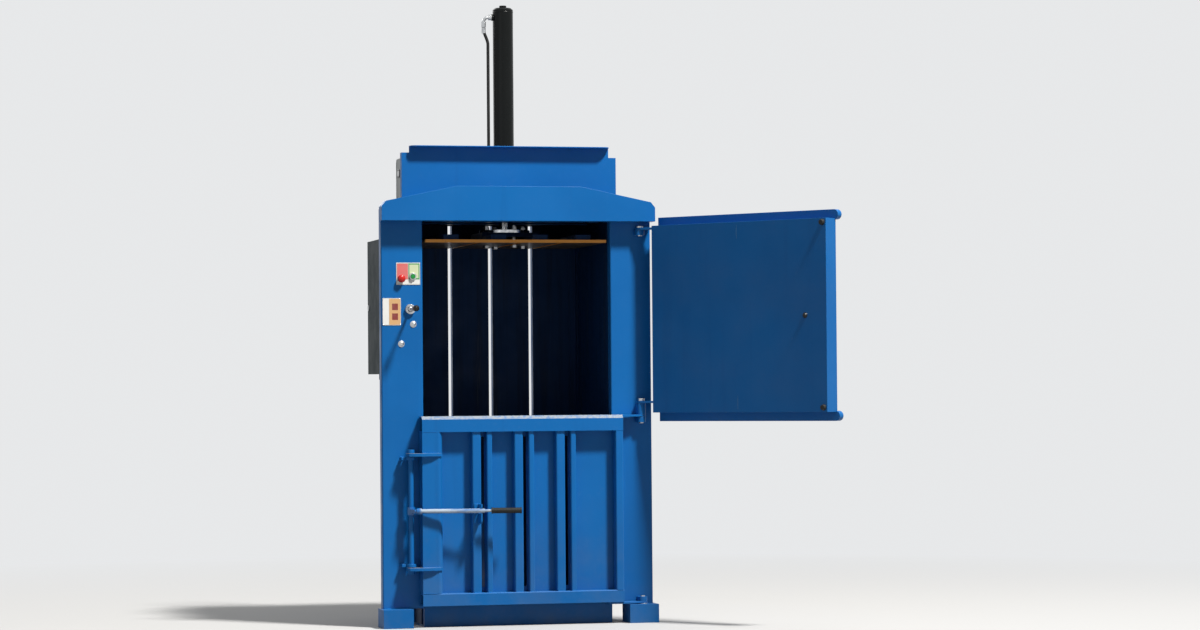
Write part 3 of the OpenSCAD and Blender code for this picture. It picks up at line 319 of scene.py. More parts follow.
def chamber_paint(name, paint):
    """Coat inside the chamber, darkened well below the outer blue as painted shade, and worn by bales: dull,
    streaked up and down, steel showing through in thin lines.
    """
    steel, dirt = (0.16, 0.18, 0.20), (0.13, 0.12, 0.10)
    r = Recipe(name, tuple(paint.chamber), 0.5, specular=0.12)
    rubbing_and_highlight = r.streaks((34, 34, 1.6), 6, 0.62)
    r.over(toned(paint.chamber, 0.45), r.ranged(rubbing_and_highlight, 0.45, 0.62, 0.0, 0.7))
    r.over(steel, r.times(r.ranged(rubbing_and_highlight, 0.64, 0.72), 0.55 * paint.wear))
    r.over(dirt, r.times(r.by_height(0.0, 0.9), r.ranged(r.grain(5, 6), 0.5, 0.8, 0.0, 0.6)))
    r.gloss(r.grain(8, 5), 0.42, 0.66)
    r.relief(r.grain(160, 4), 0.2 * MM, 0.5)
    return r.material


def bare_steel(name, colour=(0.52, 0.53, 0.54), roughness=0.34, grime_and_shade=0.5):
    """Zinc-plated or turned steel with a little grime."""
    r = Recipe(name, colour, roughness, metallic=1.0)
    r.over(toned(colour, 0.45), r.ranged(r.grain(38, 6), 0.52, 0.74, 0.0, grime_and_shade))
    r.gloss(r.grain(70, 4), roughness - 0.08, roughness + 0.14)
    r.relief(r.grain(500, 3), 0.08 * MM, 0.4)
    return r.material


def worn_bar_with_highlight(name, paint, hub_end):
    """Painted steel bar, blue at the hub and in patches, pale along its length: partly paint worn by hands,
    partly a painted highlight.
    """
    bright = (0.42, 0.50, 0.58)
    r = Recipe(name, tuple(paint.coat), 0.24, coat=0.3)
    # Pale streaks along the bar: worn paint and painted highlight
    polish_and_highlight = r.ranged(r.streaks((5, 70, 70), 5, 0.5), 0.36, 0.56, 0.0, 0.9)
    r.over(bright, r.times(polish_and_highlight, r.ranged(r.along("X"), hub_end, hub_end + 12 * MM)))
    r.gloss(r.grain(40, 4), 0.18, 0.36)
    r.relief(r.grain(300, 3), 0.1 * MM, 0.4)
    return r.material


def moulded(name, colour, roughness=0.5, grain_size=700.0, depth=0.1 * MM):
    """Rubber or plastic with a fine moulded grain and a trace of dust."""
    r = Recipe(name, colour, roughness, specular=0.25)
    r.over(toned(colour, 0.6, 0.03), r.ranged(r.grain(30, 6), 0.5, 0.8, 0.0, 0.3))
    r.gloss(r.grain(25, 4), roughness - 0.06, roughness + 0.12)
    r.relief(r.grain(grain_size, 2), depth, 0.6)
    return r.material


def satin(name, colour, roughness=0.42, speck=0.25, texture=260.0, specular=0.3):
    """Plain enamel on a bought-in piece such as a tank, motor or cabinet."""
    r = Recipe(name, colour, roughness, specular=specular)
    r.over(toned(colour, 0.62), r.ranged(r.grain(4, 6), 0.45, 0.8, 0.0, speck))
    r.over(toned(colour, 0.7, 0.09), r.ranged(r.grain(90, 7), 0.60, 0.78, 0.0, speck))
    r.gloss(r.grain(12, 4), roughness - 0.05, roughness + 0.12)
    r.relief(r.grain(texture, 3), 0.18 * MM, 0.5)
    return r.material


def rubbed_orange(name, coat):
    """Orange coat of the platen, scraped to dark steel along its length, with painted shade on its underside.
    """
    scraped, grime_and_shade = (0.10, 0.075, 0.05), (0.045, 0.030, 0.018)
    r = Recipe(name, coat, 0.42, coat=0.08)
    r.over(toned(coat, 0.6), r.ranged(r.grain(3.0, 6), 0.4, 0.75, 0.0, 0.6))
    lengthwise = r.streaks((46, 4, 46), 7, 0.65)
    r.over(scraped, r.ranged(lengthwise, 0.62, 0.72, 0.0, 0.75))
    # Painted shade: faces that look down go dark brown
    r.over(grime_and_shade, r.facing(-0.5, -0.95))
    r.gloss(lengthwise, 0.36, 0.6)
    r.relief(r.grain(200, 3), 0.2 * MM, 0.5)
    return r.material


def flat_print(name, colour, roughness=0.4):
    """Printed field of a plate: one colour, a little faded."""
    r = Recipe(name, colour, roughness)
    r.over(toned(colour, 0.8, 0.08), r.ranged(r.grain(60, 5), 0.4, 0.75, 0.0, 0.5))
    r.gloss(r.grain(90, 3), roughness - 0.05, roughness + 0.1)
    return r.material


def oil_glass(name):
    """Sight glass: dark oil behind clear plastic."""
    r = Recipe(name, (0.018, 0.014, 0.008), 0.08, coat=0.6)
    r.over((0.045, 0.030, 0.012), r.ranged(r.grain(40, 2), 0.4, 0.7, 0.0, 0.6))
    return r.material


def loading_edge(paint):
    """The lower door's frame, over whose top rail waste goes in, with a painted highlight along the top of
    that rail.
    """
    rail_band = 20 * MM
    top = corners("lower_door_frame")[1].z
    return sprayed_paint("loading_edge_blue", paint, 1.4, 0.5, highlight_above=top - rail_band)


# How each finish is made, from the paint settings of the sidebar
FINISHES = {
    "coat": lambda paint: sprayed_paint("machine_blue", paint),
    "door": lambda paint: sprayed_paint("door_blue", paint, 1.4, 0.5),
    "loading_edge": loading_edge,
    # The lugs: painted highlight on every face that looks up
    "lug": lambda paint: sprayed_paint("lug_blue", paint, highlight_above=0.0),
    "foot": lambda paint: sprayed_paint("base_blue", paint, 1.8, 0.12, 0.42, 0.9),
    "weld": lambda paint: sprayed_paint("painted_weld", paint, 1.0, 0.2, 0.3),
    "chamber": lambda paint: chamber_paint("chamber_blue", paint),
    "platen": lambda paint: rubbed_orange("platen_orange", tuple(paint.platen)),
    "steel": lambda paint: bare_steel("zinc_steel"),
    "rod": lambda paint: bare_steel("ground_rod", (0.62, 0.63, 0.64), 0.16, 0.15),
    "lever": lambda paint: worn_bar_with_highlight("lever_paint", paint, JOINTS["lock_lever"]["pos_m"][0] + HUB_REACH),
    "cast": lambda paint: satin("pump_casting", (0.16, 0.17, 0.18), 0.55, 0.4, 180.0),
    "cylinder": lambda paint: satin("cylinder_black", (0.005, 0.006, 0.006), 0.24, 0.06, 320.0, 0.14),
    "cabinet": lambda paint: satin("cabinet_grey", tuple(paint.cabinet), 0.55, 0.1, 600.0, 0.08),
    "tank": lambda paint: satin("tank_grey", tuple(paint.tank), 0.42, 0.22),
    "motor": lambda paint: satin("motor_blue", (0.055, 0.10, 0.15), 0.45, 0.3, 300.0),
    "plate": lambda paint: satin("plate_aluminium", (0.60, 0.61, 0.58), 0.4, 0.15),
    "hose": lambda paint: moulded("hose_rubber", (0.012, 0.012, 0.012)),
    "rubber": lambda paint: moulded("grip_rubber", (0.016, 0.017, 0.016), 0.55, 500.0, 0.2 * MM),
    "knob": lambda paint: moulded("black_knob", (0.012, 0.012, 0.012), 0.28, 900.0, 0.04 * MM),
    "conduit": lambda paint: moulded("conduit_plastic", (0.020, 0.024, 0.035), 0.45),
    "red": lambda paint: moulded("stop_red", (0.50, 0.018, 0.014), 0.26, 900.0, 0.03 * MM),
    "green": lambda paint: moulded("start_green", (0.020, 0.26, 0.055), 0.28, 900.0, 0.03 * MM),
    "shadow": lambda paint: moulded("dark_slot", (0.006, 0.006, 0.006), 0.8),
    "oil": lambda paint: oil_glass("oil_glass"),
    "mark": lambda paint: flat_print("faint_scuff", (0.035, 0.16, 0.36), 0.55),
}
MATERIALS = {}


def mat(finish):
    """The material of a finish, made on first use."""
    if finish not in MATERIALS:
        if finish in PRINTS:
            MATERIALS[finish] = flat_print(finish, PRINTS[finish])
        else:
            MATERIALS[finish] = FINISHES[finish](bpy.context.scene.baler_paint)
    return MATERIALS[finish]


def corners(node):
    """Lowest and highest corners of a CAD node at rest."""
    low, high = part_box(node)
    return Vector(low), Vector(high)


def solids(node, turn=None):
    """Lowest and highest corners of each separate solid of a CAD node, from left to right.

    A node that a turn has brought to where it stands is measured turned back.
    """
    mesh = frame["nodes"][node].data
    back = turn.inverted() if turn else Matrix()
    places, home = {}, []
    for vert in mesh.vertices:
        home.append(places.setdefault(tuple(round(c, 5) for c in vert.co), len(places)))
    leader = list(range(len(places)))

    def root(i):
        while leader[i] != i:
            i = leader[i]
        return i

    for edge in mesh.edges:
        leader[root(home[edge.vertices[0]])] = root(home[edge.vertices[1]])
    groups = {}
    for vert, i in zip(mesh.vertices, home):
        groups.setdefault(root(i), []).append(back @ vert.co)
    boxes = [tuple(Vector([pick(p[k] for p in group) for k in range(3)]) for pick in (min, max))
             for group in groups.values()]
    return sorted(boxes, key=lambda box: tuple(box[0]))


def from_bmesh(name, bm):
    bmesh.ops.recalc_face_normals(bm, faces=bm.faces)
    mesh = bpy.data.meshes.new(name)
    bm.to_mesh(mesh)
    bm.free()
    return mesh


def placed(name, data):
    obj = bpy.data.objects.new(name, data)
    bpy.context.collection.objects.link(obj)
    return obj


def piece(name, bm, body, finish, turn=None):
    """Puts a finished shape on a body; turn brings a piece drawn closed to where it stands."""
    mesh = from_bmesh(name, bm)
    if turn:
        mesh.transform(turn)
    obj = placed(name, mesh)
    mesh.materials.append(mat(finish))
    mesh.shade_smooth()
    mesh.set_sharp_from_angle(angle=math.radians(SHARP_FROM))
    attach(obj, body)
    return obj


def shares(count):
    """0 to 1 in equal steps."""
    return [i / count for i in range(count + 1)]


def turns(count):
    """The angles of equal steps round a circle."""
    return [2 * math.pi * i / count for i in range(count)]


def block(bm, low, high):
    """Adds a box between two corners."""
    low, high = Vector(low), Vector(high)
    size, middle = high - low, (high + low) / 2
    for vert in bmesh.ops.create_cube(bm, size=1.0)["verts"]:
        vert.co = Vector([v * s + m for v, s, m in zip(vert.co, size, middle)])


def hoop(bm, middle, axis, side, radius, steps):
    """Adds a circle of points about an axis, beginning on the given side."""
    other = axis.cross(side)
    return [bm.verts.new(middle + radius * (side * math.cos(a) + other * math.sin(a))) for a in turns(steps)]


def between(bm, low, high):
    """Adds the faces between two circles of points; a circle of one point is the tip of a cone."""
    steps = max(len(low), len(high))
    for i in range(steps):
        j = (i + 1) % steps
        if len(low) == 1:
            bm.faces.new((low[0], high[j], high[i]))
        elif len(high) == 1:
            bm.faces.new((low[i], low[j], high[0]))
        else:
            bm.faces.new((low[i], low[j], high[j], high[i]))


def tube(bm, circles):
    """Adds the faces along a row of circles, with a cap on each end."""
    for low, high in zip(circles, circles[1:]):
        between(bm, low, high)
    for end in (circles[0], circles[-1]):
        if len(end) > 1:
            bm.faces.new(end)


def spun(bm, profile, centre, axis, steps):
    """Adds a body of revolution: profile is (distance along the axis, radius) pairs in millimetres."""
    axis = Vector(axis).normalized()
    side = axis.orthogonal().normalized()
    circles = []
    for along, radius in profile:
        middle = Vector(centre) + axis * along * MM
        circles.append(hoop(bm, middle, axis, side, radius * MM, steps) if radius else [bm.verts.new(middle)])
    tube(bm, circles)


def swept(bm, points, radius, sides):
    """Adds a round tube along points; radius is a number or one number a point."""
    points = [Vector(p) for p in points]
    radii = radius if isinstance(radius, list) else [radius] * len(points)
    last = len(points) - 1
    tangents = [(points[min(i + 1, last)] - points[max(i - 1, 0)]).normalized() for i in range(last + 1)]
    side = tangents[0].orthogonal().normalized()
    circles = []
    for point, tangent, r in zip(points, tangents, radii):
        side = (side - tangent * side.dot(tangent)).normalized()
        circles.append(hoop(bm, point, tangent, side, r, sides))
    tube(bm, circles)


def ring(bm, centre, axis, radius, thick, steps=40, sides=8):
    """Adds a torus: radius goes to the middle of its section, whose own radius is thick."""
    axis = Vector(axis).normalized()
    side = axis.orthogonal().normalized()
    other = axis.cross(side)
    sections = []
    for a in turns(steps):
        out = side * math.cos(a) + other * math.sin(a)
        sections.append(hoop(bm, Vector(centre) + out * radius, out.cross(axis), out, thick, sides))
    for low, high in zip(sections, sections[1:] + sections[:1]):
        between(bm, low, high)


def bead(bm, start, end, radius, seed=0.0):
    """Adds a hand-laid weld bead: a thin tube that swells at each stop and thins at its ends."""
    stop, fewest, swell, bumps_per_metre = 0.45 * radius, 6, 0.12, 60
    tip, widening = 0.35, 8
    start, end = Vector(start), Vector(end)
    length = (end - start).length
    points, radii = [], []
    for i, t in enumerate(shares(max(int(length / stop), fewest))):
        points.append(start.lerp(end, t))
        wobble = noise.noise(Vector((seed, t * length * bumps_per_metre, 0.0)))
        ripple = 0.86 + swell * (-1) ** i + swell * wobble
        radii.append(radius * ripple * min(1.0, tip + widening * min(t, 1 - t)))
    swept(bm, points, radii, 8)


def stitched(bm, start, end, radius, pitch):
    """Adds short beads in a row, as long seams of sheet metal are welded."""
    stitch = 34 * MM
    start, end = Vector(start), Vector(end)
    total = (end - start).length
    along = (end - start).normalized()
    count = max(1, round(total / pitch))
    for i in range(count):
        middle = start + along * total * (i + 0.5) / count
        reach = along * min(stitch, 0.9 * total) / 2
        bead(bm, middle - reach, middle + reach, radius, i * 3.7)


def level_beads(bm, start, end, left, right, y, radius, seed=None):
    """Adds a level bead at the lower corner's height and one at the upper corner's."""
    for z in (start.z, end.z):
        bead(bm, (left, y, z), (right, y, z), radius, z if seed is None else seed)


def soften(obj, width):
    """Rounds the edges of a CAD node without touching its own vertices."""
    for polygon in obj.data.polygons:
        polygon.use_smooth = True
    join = obj.modifiers.new("join", "WELD")
    join.merge_threshold = 0.02 * MM
    flat = obj.modifiers.new("flat", "DECIMATE")
    flat.decimate_type = "DISSOLVE"
    flat.angle_limit = math.radians(0.6)
    edge = obj.modifiers.new("edge", "BEVEL")
    edge.width = width
    edge.segments = 2
    edge.limit_method = "ANGLE"
    edge.angle_limit = math.radians(ROUNDED_FROM)
    edge.use_clamp_overlap = True
    edge.face_strength_mode = "FSTR_AFFECTED"
    shade = obj.modifiers.new("shade", "WEIGHTED_NORMAL")
    shade.mode = "FACE_AREA"
    shade.use_face_influence = True


def finish_nodes(nodes, width):
    """Gives CAD nodes their finishes and rounds their edges."""
    for finish, names in nodes.items():
        for name in names:
            obj = frame["nodes"][name]
            obj.data.materials.clear()
            obj.data.materials.append(mat(finish))
            if width > 0:
                soften(obj, width)


class BALER_OT_paint(bpy.types.Operator):
    """Paint the folded sheet metal, the doors and the chamber"""

    bl_idname = "baler.paint"
    bl_label = "Paint Sheet Metal"

    def execute(self, context):
        finish_nodes(SHEET_METAL, context.scene.baler_edges.sheet)
        return {"FINISHED"}


class BALER_OT_metal(bpy.types.Operator):
    """Give bolts, pins, rods, pipes and bought-in units their own finishes"""

    bl_idname = "baler.metal"
    bl_label = "Finish Metal and Units"

    def execute(self, context):
        finish_nodes(METAL, context.scene.baler_edges.small)
        return {"FINISHED"}


class BALER_OT_soft(bpy.types.Operator):
    """Give rubber, plastic and printed pieces their own finishes"""

    bl_idname = "baler.soft"
    bl_label = "Finish Rubber and Plastic"

    def execute(self, context):
        finish_nodes(RUBBER_AND_PLASTIC, context.scene.baler_edges.small)
        return {"FINISHED"}


class BALER_OT_welds(bpy.types.Operator):
    """Lay the weld beads along channels, lugs, brackets, ribs, feet and tank"""

    bl_idname = "baler.welds"
    bl_label = "Lay Weld Beads"

    wall_pitch = 240 * MM
    sheet_pitch = 160 * MM
    tank_pitch = 80 * MM
    # How far the fascia's side returns reach behind its face, and how far seams stop short of corners
    fascia_return = 30 * MM
    fascia_inset = 40 * MM
    door_inset = 50 * MM
    # Where the beads on the arms of the upper door begin and end, from the door's inner face
    arm_bead = (45 * MM, 2 * MM)

    def lower_door(self, r):
        bm = bmesh.new()
        low, high = corners("lower_door_frame")
        for start, end in solids("lower_door_channels"):
            level_beads(bm, start, end, start.x + r, end.x - r, start.y, r, start.x)
        start, end = corners("lower_door_panel")
        for left, right in ((low.x + r, start.x - 7 * r), (end.x + 2 * r, high.x - r)):
            level_beads(bm, start, end, left, right, low.y + 0.2 * r, 0.6 * r)
        for start, end in solids("lock_lugs"):
            level_beads(bm, start, end, low.x, end.x - 3 * r, low.y, r)
        for start, end in solids("lever_rest"):
            level_beads(bm, start, end, start.x, end.x, end.y - 0.3 * r, 0.7 * r)
        piece("lower_door_welds", bm, "lower_door", "weld")

    def posts(self, r):
        bm = bmesh.new()
        for post in ("left_post", "right_post"):
            low, high = corners(post)
            for foot, top in solids("front_feet"):
                if foot.x < high.x and top.x > low.x:
                    left, right = max(foot.x, low.x) + 2 * r, min(top.x, high.x) - 2 * r
                    bead(bm, (left, low.y, top.z), (right, low.y, top.z), r)
        face = corners("right_post")[0].y
        for name in ("hinge_brackets", "lock_keepers"):
            for start, end in solids(name):
                level_beads(bm, start, end, start.x, end.x, face, 0.8 * r)
                for x in (start.x, end.x):
                    bead(bm, (x, face, start.z), (x, face, end.z), 0.8 * r, x)
        piece("post_welds", bm, "frame", "weld")

    def walls(self, r):
        bm = bmesh.new()
        left, right = corners("left_wall")[0].x, corners("right_wall")[1].x
        for start, end in solids("side_ribs"):
            wall = right if start.x > 0 else left
            for y in (start.y, end.y):
                stitched(bm, (wall, y, start.z), (wall, y, end.z), r, self.wall_pitch)
        back = corners("rear_wall")[1].y
        for start, end in solids("rear_ribs"):
            for x in (start.x, end.x):
                stitched(bm, (x, back, start.z), (x, back, end.z), r, self.wall_pitch)
        piece("wall_welds", bm, "frame", "weld")

    def top(self, r):
        bm = bmesh.new()
        deck = corners("deck_plate")[1].z
        low, high = corners("top_fascia")
        left, right = low.x + self.fascia_inset, high.x - self.fascia_inset
        sheet = high.y - self.fascia_return
        stitched(bm, (left, sheet, deck), (right, sheet, deck), r, self.sheet_pitch)
        piece("fascia_welds", bm, "frame", "weld")
        bm = bmesh.new()
        low, high = corners("oil_tank")
        for x in (low.x, high.x):
            for y in (low.y, high.y):
                bead(bm, (x, y, low.z + 2 * r), (x, y, high.z - r), 0.7 * r, x + y)
        for y in (low.y, high.y):
            stitched(bm, (low.x, y, low.z), (high.x, y, low.z), r, self.tank_pitch)
        piece("tank_welds", bm, "frame", "tank")
        bm = bmesh.new()
        low, high = corners("cylinder_cap")
        middle, radius = (low + high) / 2, (high.x - low.x) / 2
        ring(bm, (middle.x, middle.y, low.z), (0, 0, 1), radius - 0.4 * r, 0.7 * r, 60)
        ring(bm, (middle.x, middle.y, deck + FLANGE), (0, 0, 1), radius, 1.3 * r, 60)
        piece("cylinder_welds", bm, "frame", "cylinder")

    def upper_door(self, r):
        bm = bmesh.new()
        low, high = solids("upper_door_tray", DOOR_TURN)[0]
        near, far = (high.y - reach for reach in self.arm_bead)
        for start, end in solids("upper_door_arms", DOOR_TURN):
            for z in (start.z, end.z):
                bead(bm, (high.x, near, z), (high.x, far, z), r, z)
        left, right = low.x + self.door_inset, high.x - self.door_inset
        start, end = solids("upper_door_skin", DOOR_TURN)[0]
        for z in (start.z, end.z):
            stitched(bm, (left, start.y + r, z), (right, start.y + r, z), 0.9 * r, self.sheet_pitch)
        piece("upper_door_welds", bm, "upper_door", "weld", DOOR_TURN)

    def execute(self, context):
        for seams in (self.lower_door, self.posts, self.walls, self.top, self.upper_door):
            seams(context.scene.baler_edges.bead)
        return {"FINISHED"}


class BALER_OT_plates(bpy.types.Operator):
    """Print the plates on the left post as plain fields of colour, with their rivets"""

    bl_idname = "baler.plates"
    bl_label = "Print Control Plates"

    # Each field: name, finish, left, right, bottom and top as shares of the plate, and its layer
    control_fields = (
        ("stop_field", "rose_field", 0.03, 0.49, 0.25, 0.96, 1),
        ("start_border", "green_field", 0.51, 0.97, 0.25, 0.96, 1),
        ("start_field", "cream_field", 0.55, 0.93, 0.30, 0.91, 2),
        ("lower_strip", "white_field", 0.03, 0.97, 0.04, 0.21, 1),
    )
    info_fields = (
        ("left_strip", "white_field", 0.02, 0.34, 0.02, 0.98, 1),
        ("right_field", "amber_field", 0.36, 0.98, 0.02, 0.98, 1),
        ("upper_mark", "maroon_field", 0.52, 0.84, 0.56, 0.80, 2),
        ("lower_mark", "maroon_field", 0.52, 0.84, 0.20, 0.44, 2),
    )
    layer = 0.12 * MM
    rivet = ((0, 1.6), (0.5, 1.6), (0.9, 0.96), (1.0, 0))
    rivet_inset = 3.2 * MM

    def fields(self, node, fields):
        low, high = corners(node)
        size = high - low
        for name, finish, left, right, bottom, top, layer in fields:
            bm = bmesh.new()
            block(bm, (low.x + left * size.x, low.y - layer * self.layer, low.z + bottom * size.z),
                  (low.x + right * size.x, low.y, low.z + top * size.z))
            piece(name, bm, "frame", finish)
        bm = bmesh.new()
        for x in (low.x + self.rivet_inset, high.x - self.rivet_inset):
            for z in (low.z + self.rivet_inset, high.z - self.rivet_inset):
                spun(bm, self.rivet, (x, low.y, z), (0, -1, 0), 16)
        piece(node + "_rivets", bm, "frame", "steel")

    def execute(self, context):
        self.fields("control_plate", self.control_fields)
        self.fields("info_plate", self.info_fields)
        return {"FINISHED"}


class BALER_OT_door_marks(bpy.types.Operator):
    """Put the faint scuffs on the inner face of the upper door"""

    bl_idname = "baler.door_marks"
    bl_label = "Scuff Upper Door"

    from_hinge = 411 * MM
    from_edge = 12 * MM
    # A long scuff and a shorter one beside it: the corners of each, from the foot of the long one
    long_scuff = (Vector((0, 0, 0)), Vector((1.6, 0.2, 52)) * MM)
    short_scuff = (Vector((4, 0, 12)) * MM, Vector((4.8, 0.2, 40)) * MM)

    def execute(self, context):
        low, high = solids("upper_door_tray", DOOR_TURN)[0]
        bm = bmesh.new()
        for z in (low.z + self.from_edge, high.z - self.from_edge - self.long_scuff[1].z):
            foot = Vector((high.x - self.from_hinge, high.y, z))
            for start, end in (self.long_scuff, self.short_scuff):
                block(bm, foot + start, foot + end)
        piece("door_scuffs", bm, "upper_door", "mark", DOOR_TURN)
        return {"FINISHED"}


class BALER_OT_hoses(bpy.types.Operator):
    """Run the return, pressure and suction hoses as smooth tubes with crimped ferrules"""

    bl_idname = "baler.hoses"
    bl_label = "Run Hoses"

    hose = 6 * MM
    suction = 11 * MM
    # The return hose: its upper end below the port beside the barrel, its S, and its lower end
    port_below_cap = 21 * MM
    below_port = 46 * MM
    beside_barrel = 38 * MM
    swing = 60 * MM
    swing_angle = math.radians(31)
    above_deck = 112 * MM
    # The hoses between barrel, pump and tank: height over the deck, fitting, bend and place
    level = 64 * MM
    port = 8 * MM
    lead, bend = 22 * MM, 22 * MM
    suction_line = 125 * MM
    # Radius of a ferrule in millimetres, and its four pressed flats as shares of its length
    ferrule = 8.4
    flats = (0.14, 0.32, 0.50, 0.68)

    def crimp(self, bm, centre, axis, length):
        """Adds a ferrule that starts at centre: a collar with pressed flats between two lips."""
        mouth, lip, flat = 0.8 * self.ferrule, self.ferrule, 0.92 * self.ferrule
        profile = [(0, mouth), (0, lip)]
        for start in self.flats:
            profile += [(start, lip), (start + 0.02, flat), (start + 0.12, flat), (start + 0.14, lip)]
        profile += [(1, lip), (1, mouth)]
        spun(bm, [(length * share, radius) for share, radius in profile], centre, axis, 28)

    def return_route(self, x, y, top, foot):
        """Down from its upper fitting, through an S, and straight to its foot."""
        shift = 2 * self.swing * (1 - math.cos(self.swing_angle))
        drop = 2 * self.swing * math.sin(self.swing_angle)
        points = [(x, y, top + 7 * MM)]
        points += [(x + shift * (3 * t * t - 2 * t ** 3), y, top - drop * t) for t in shares(16)]
        return points + [(x + shift, y, top - drop + (foot - top + drop) * t) for t in shares(8)[1:]]

    def pressure_route(self, x, y, z, pump):
        """Forwards out of the barrel's lower port, round a bend and across to the pump."""
        turn = y - self.lead
        points = [(x, y, z), (x, y - 12 * MM, z), (x, turn, z)]
        points += [(x + self.bend * (1 - math.cos(a)), turn - self.bend * math.sin(a), z)
                   for a in (math.pi / 2 * t for t in shares(8)[1:])]
        return points + [(pump, turn - self.bend, z)]

    def execute(self, context):
        low, high = corners("cylinder_cap")
        barrel = (high.x - low.x) / 2
        x, y = (low.x + high.x) / 2, (low.y + high.y) / 2
        deck = corners("deck_plate")[1].z
        top, foot = low.z - self.port_below_cap - self.below_port, deck + self.above_deck
        left, out, level = x - barrel - self.beside_barrel, y - barrel - self.port, deck + self.level
        tank, pump = corners("oil_tank")[1].x, corners("pump")[0].x
        bm = bmesh.new()
        route = self.return_route(left, y, top, foot)
        swept(bm, route, self.hose, 20)
        swept(bm, self.pressure_route(x, out, level, pump), self.hose, 20)
        hose = piece("smooth_hoses", bm, "frame", "hose")
        bm = bmesh.new()
        line = y - self.suction_line
        swept(bm, [(tank, line, level), (pump, line, level)], self.suction, 32)
        piece("suction_hose", bm, "frame", "hose")
        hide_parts("hoses")
        bm = bmesh.new()
        self.crimp(bm, (left, y, top + 5 * MM), (0, 0, -1), 22)
        self.crimp(bm, (route[-1][0], y, foot - 1 * MM), (0, 0, 1), 22)
        self.crimp(bm, (x, out - 1 * MM, level), (0, -1, 0), 18)
        for clamp in (tank + 6 * MM, pump - 14 * MM):
            for band in (clamp, clamp + 7 * MM):
                ring(bm, (band, line, level), (1, 0, 0), self.suction + 0.4 * MM, 1.2 * MM)
        piece("hose_ferrules", bm, "frame", "steel")
        return {"FINISHED"}


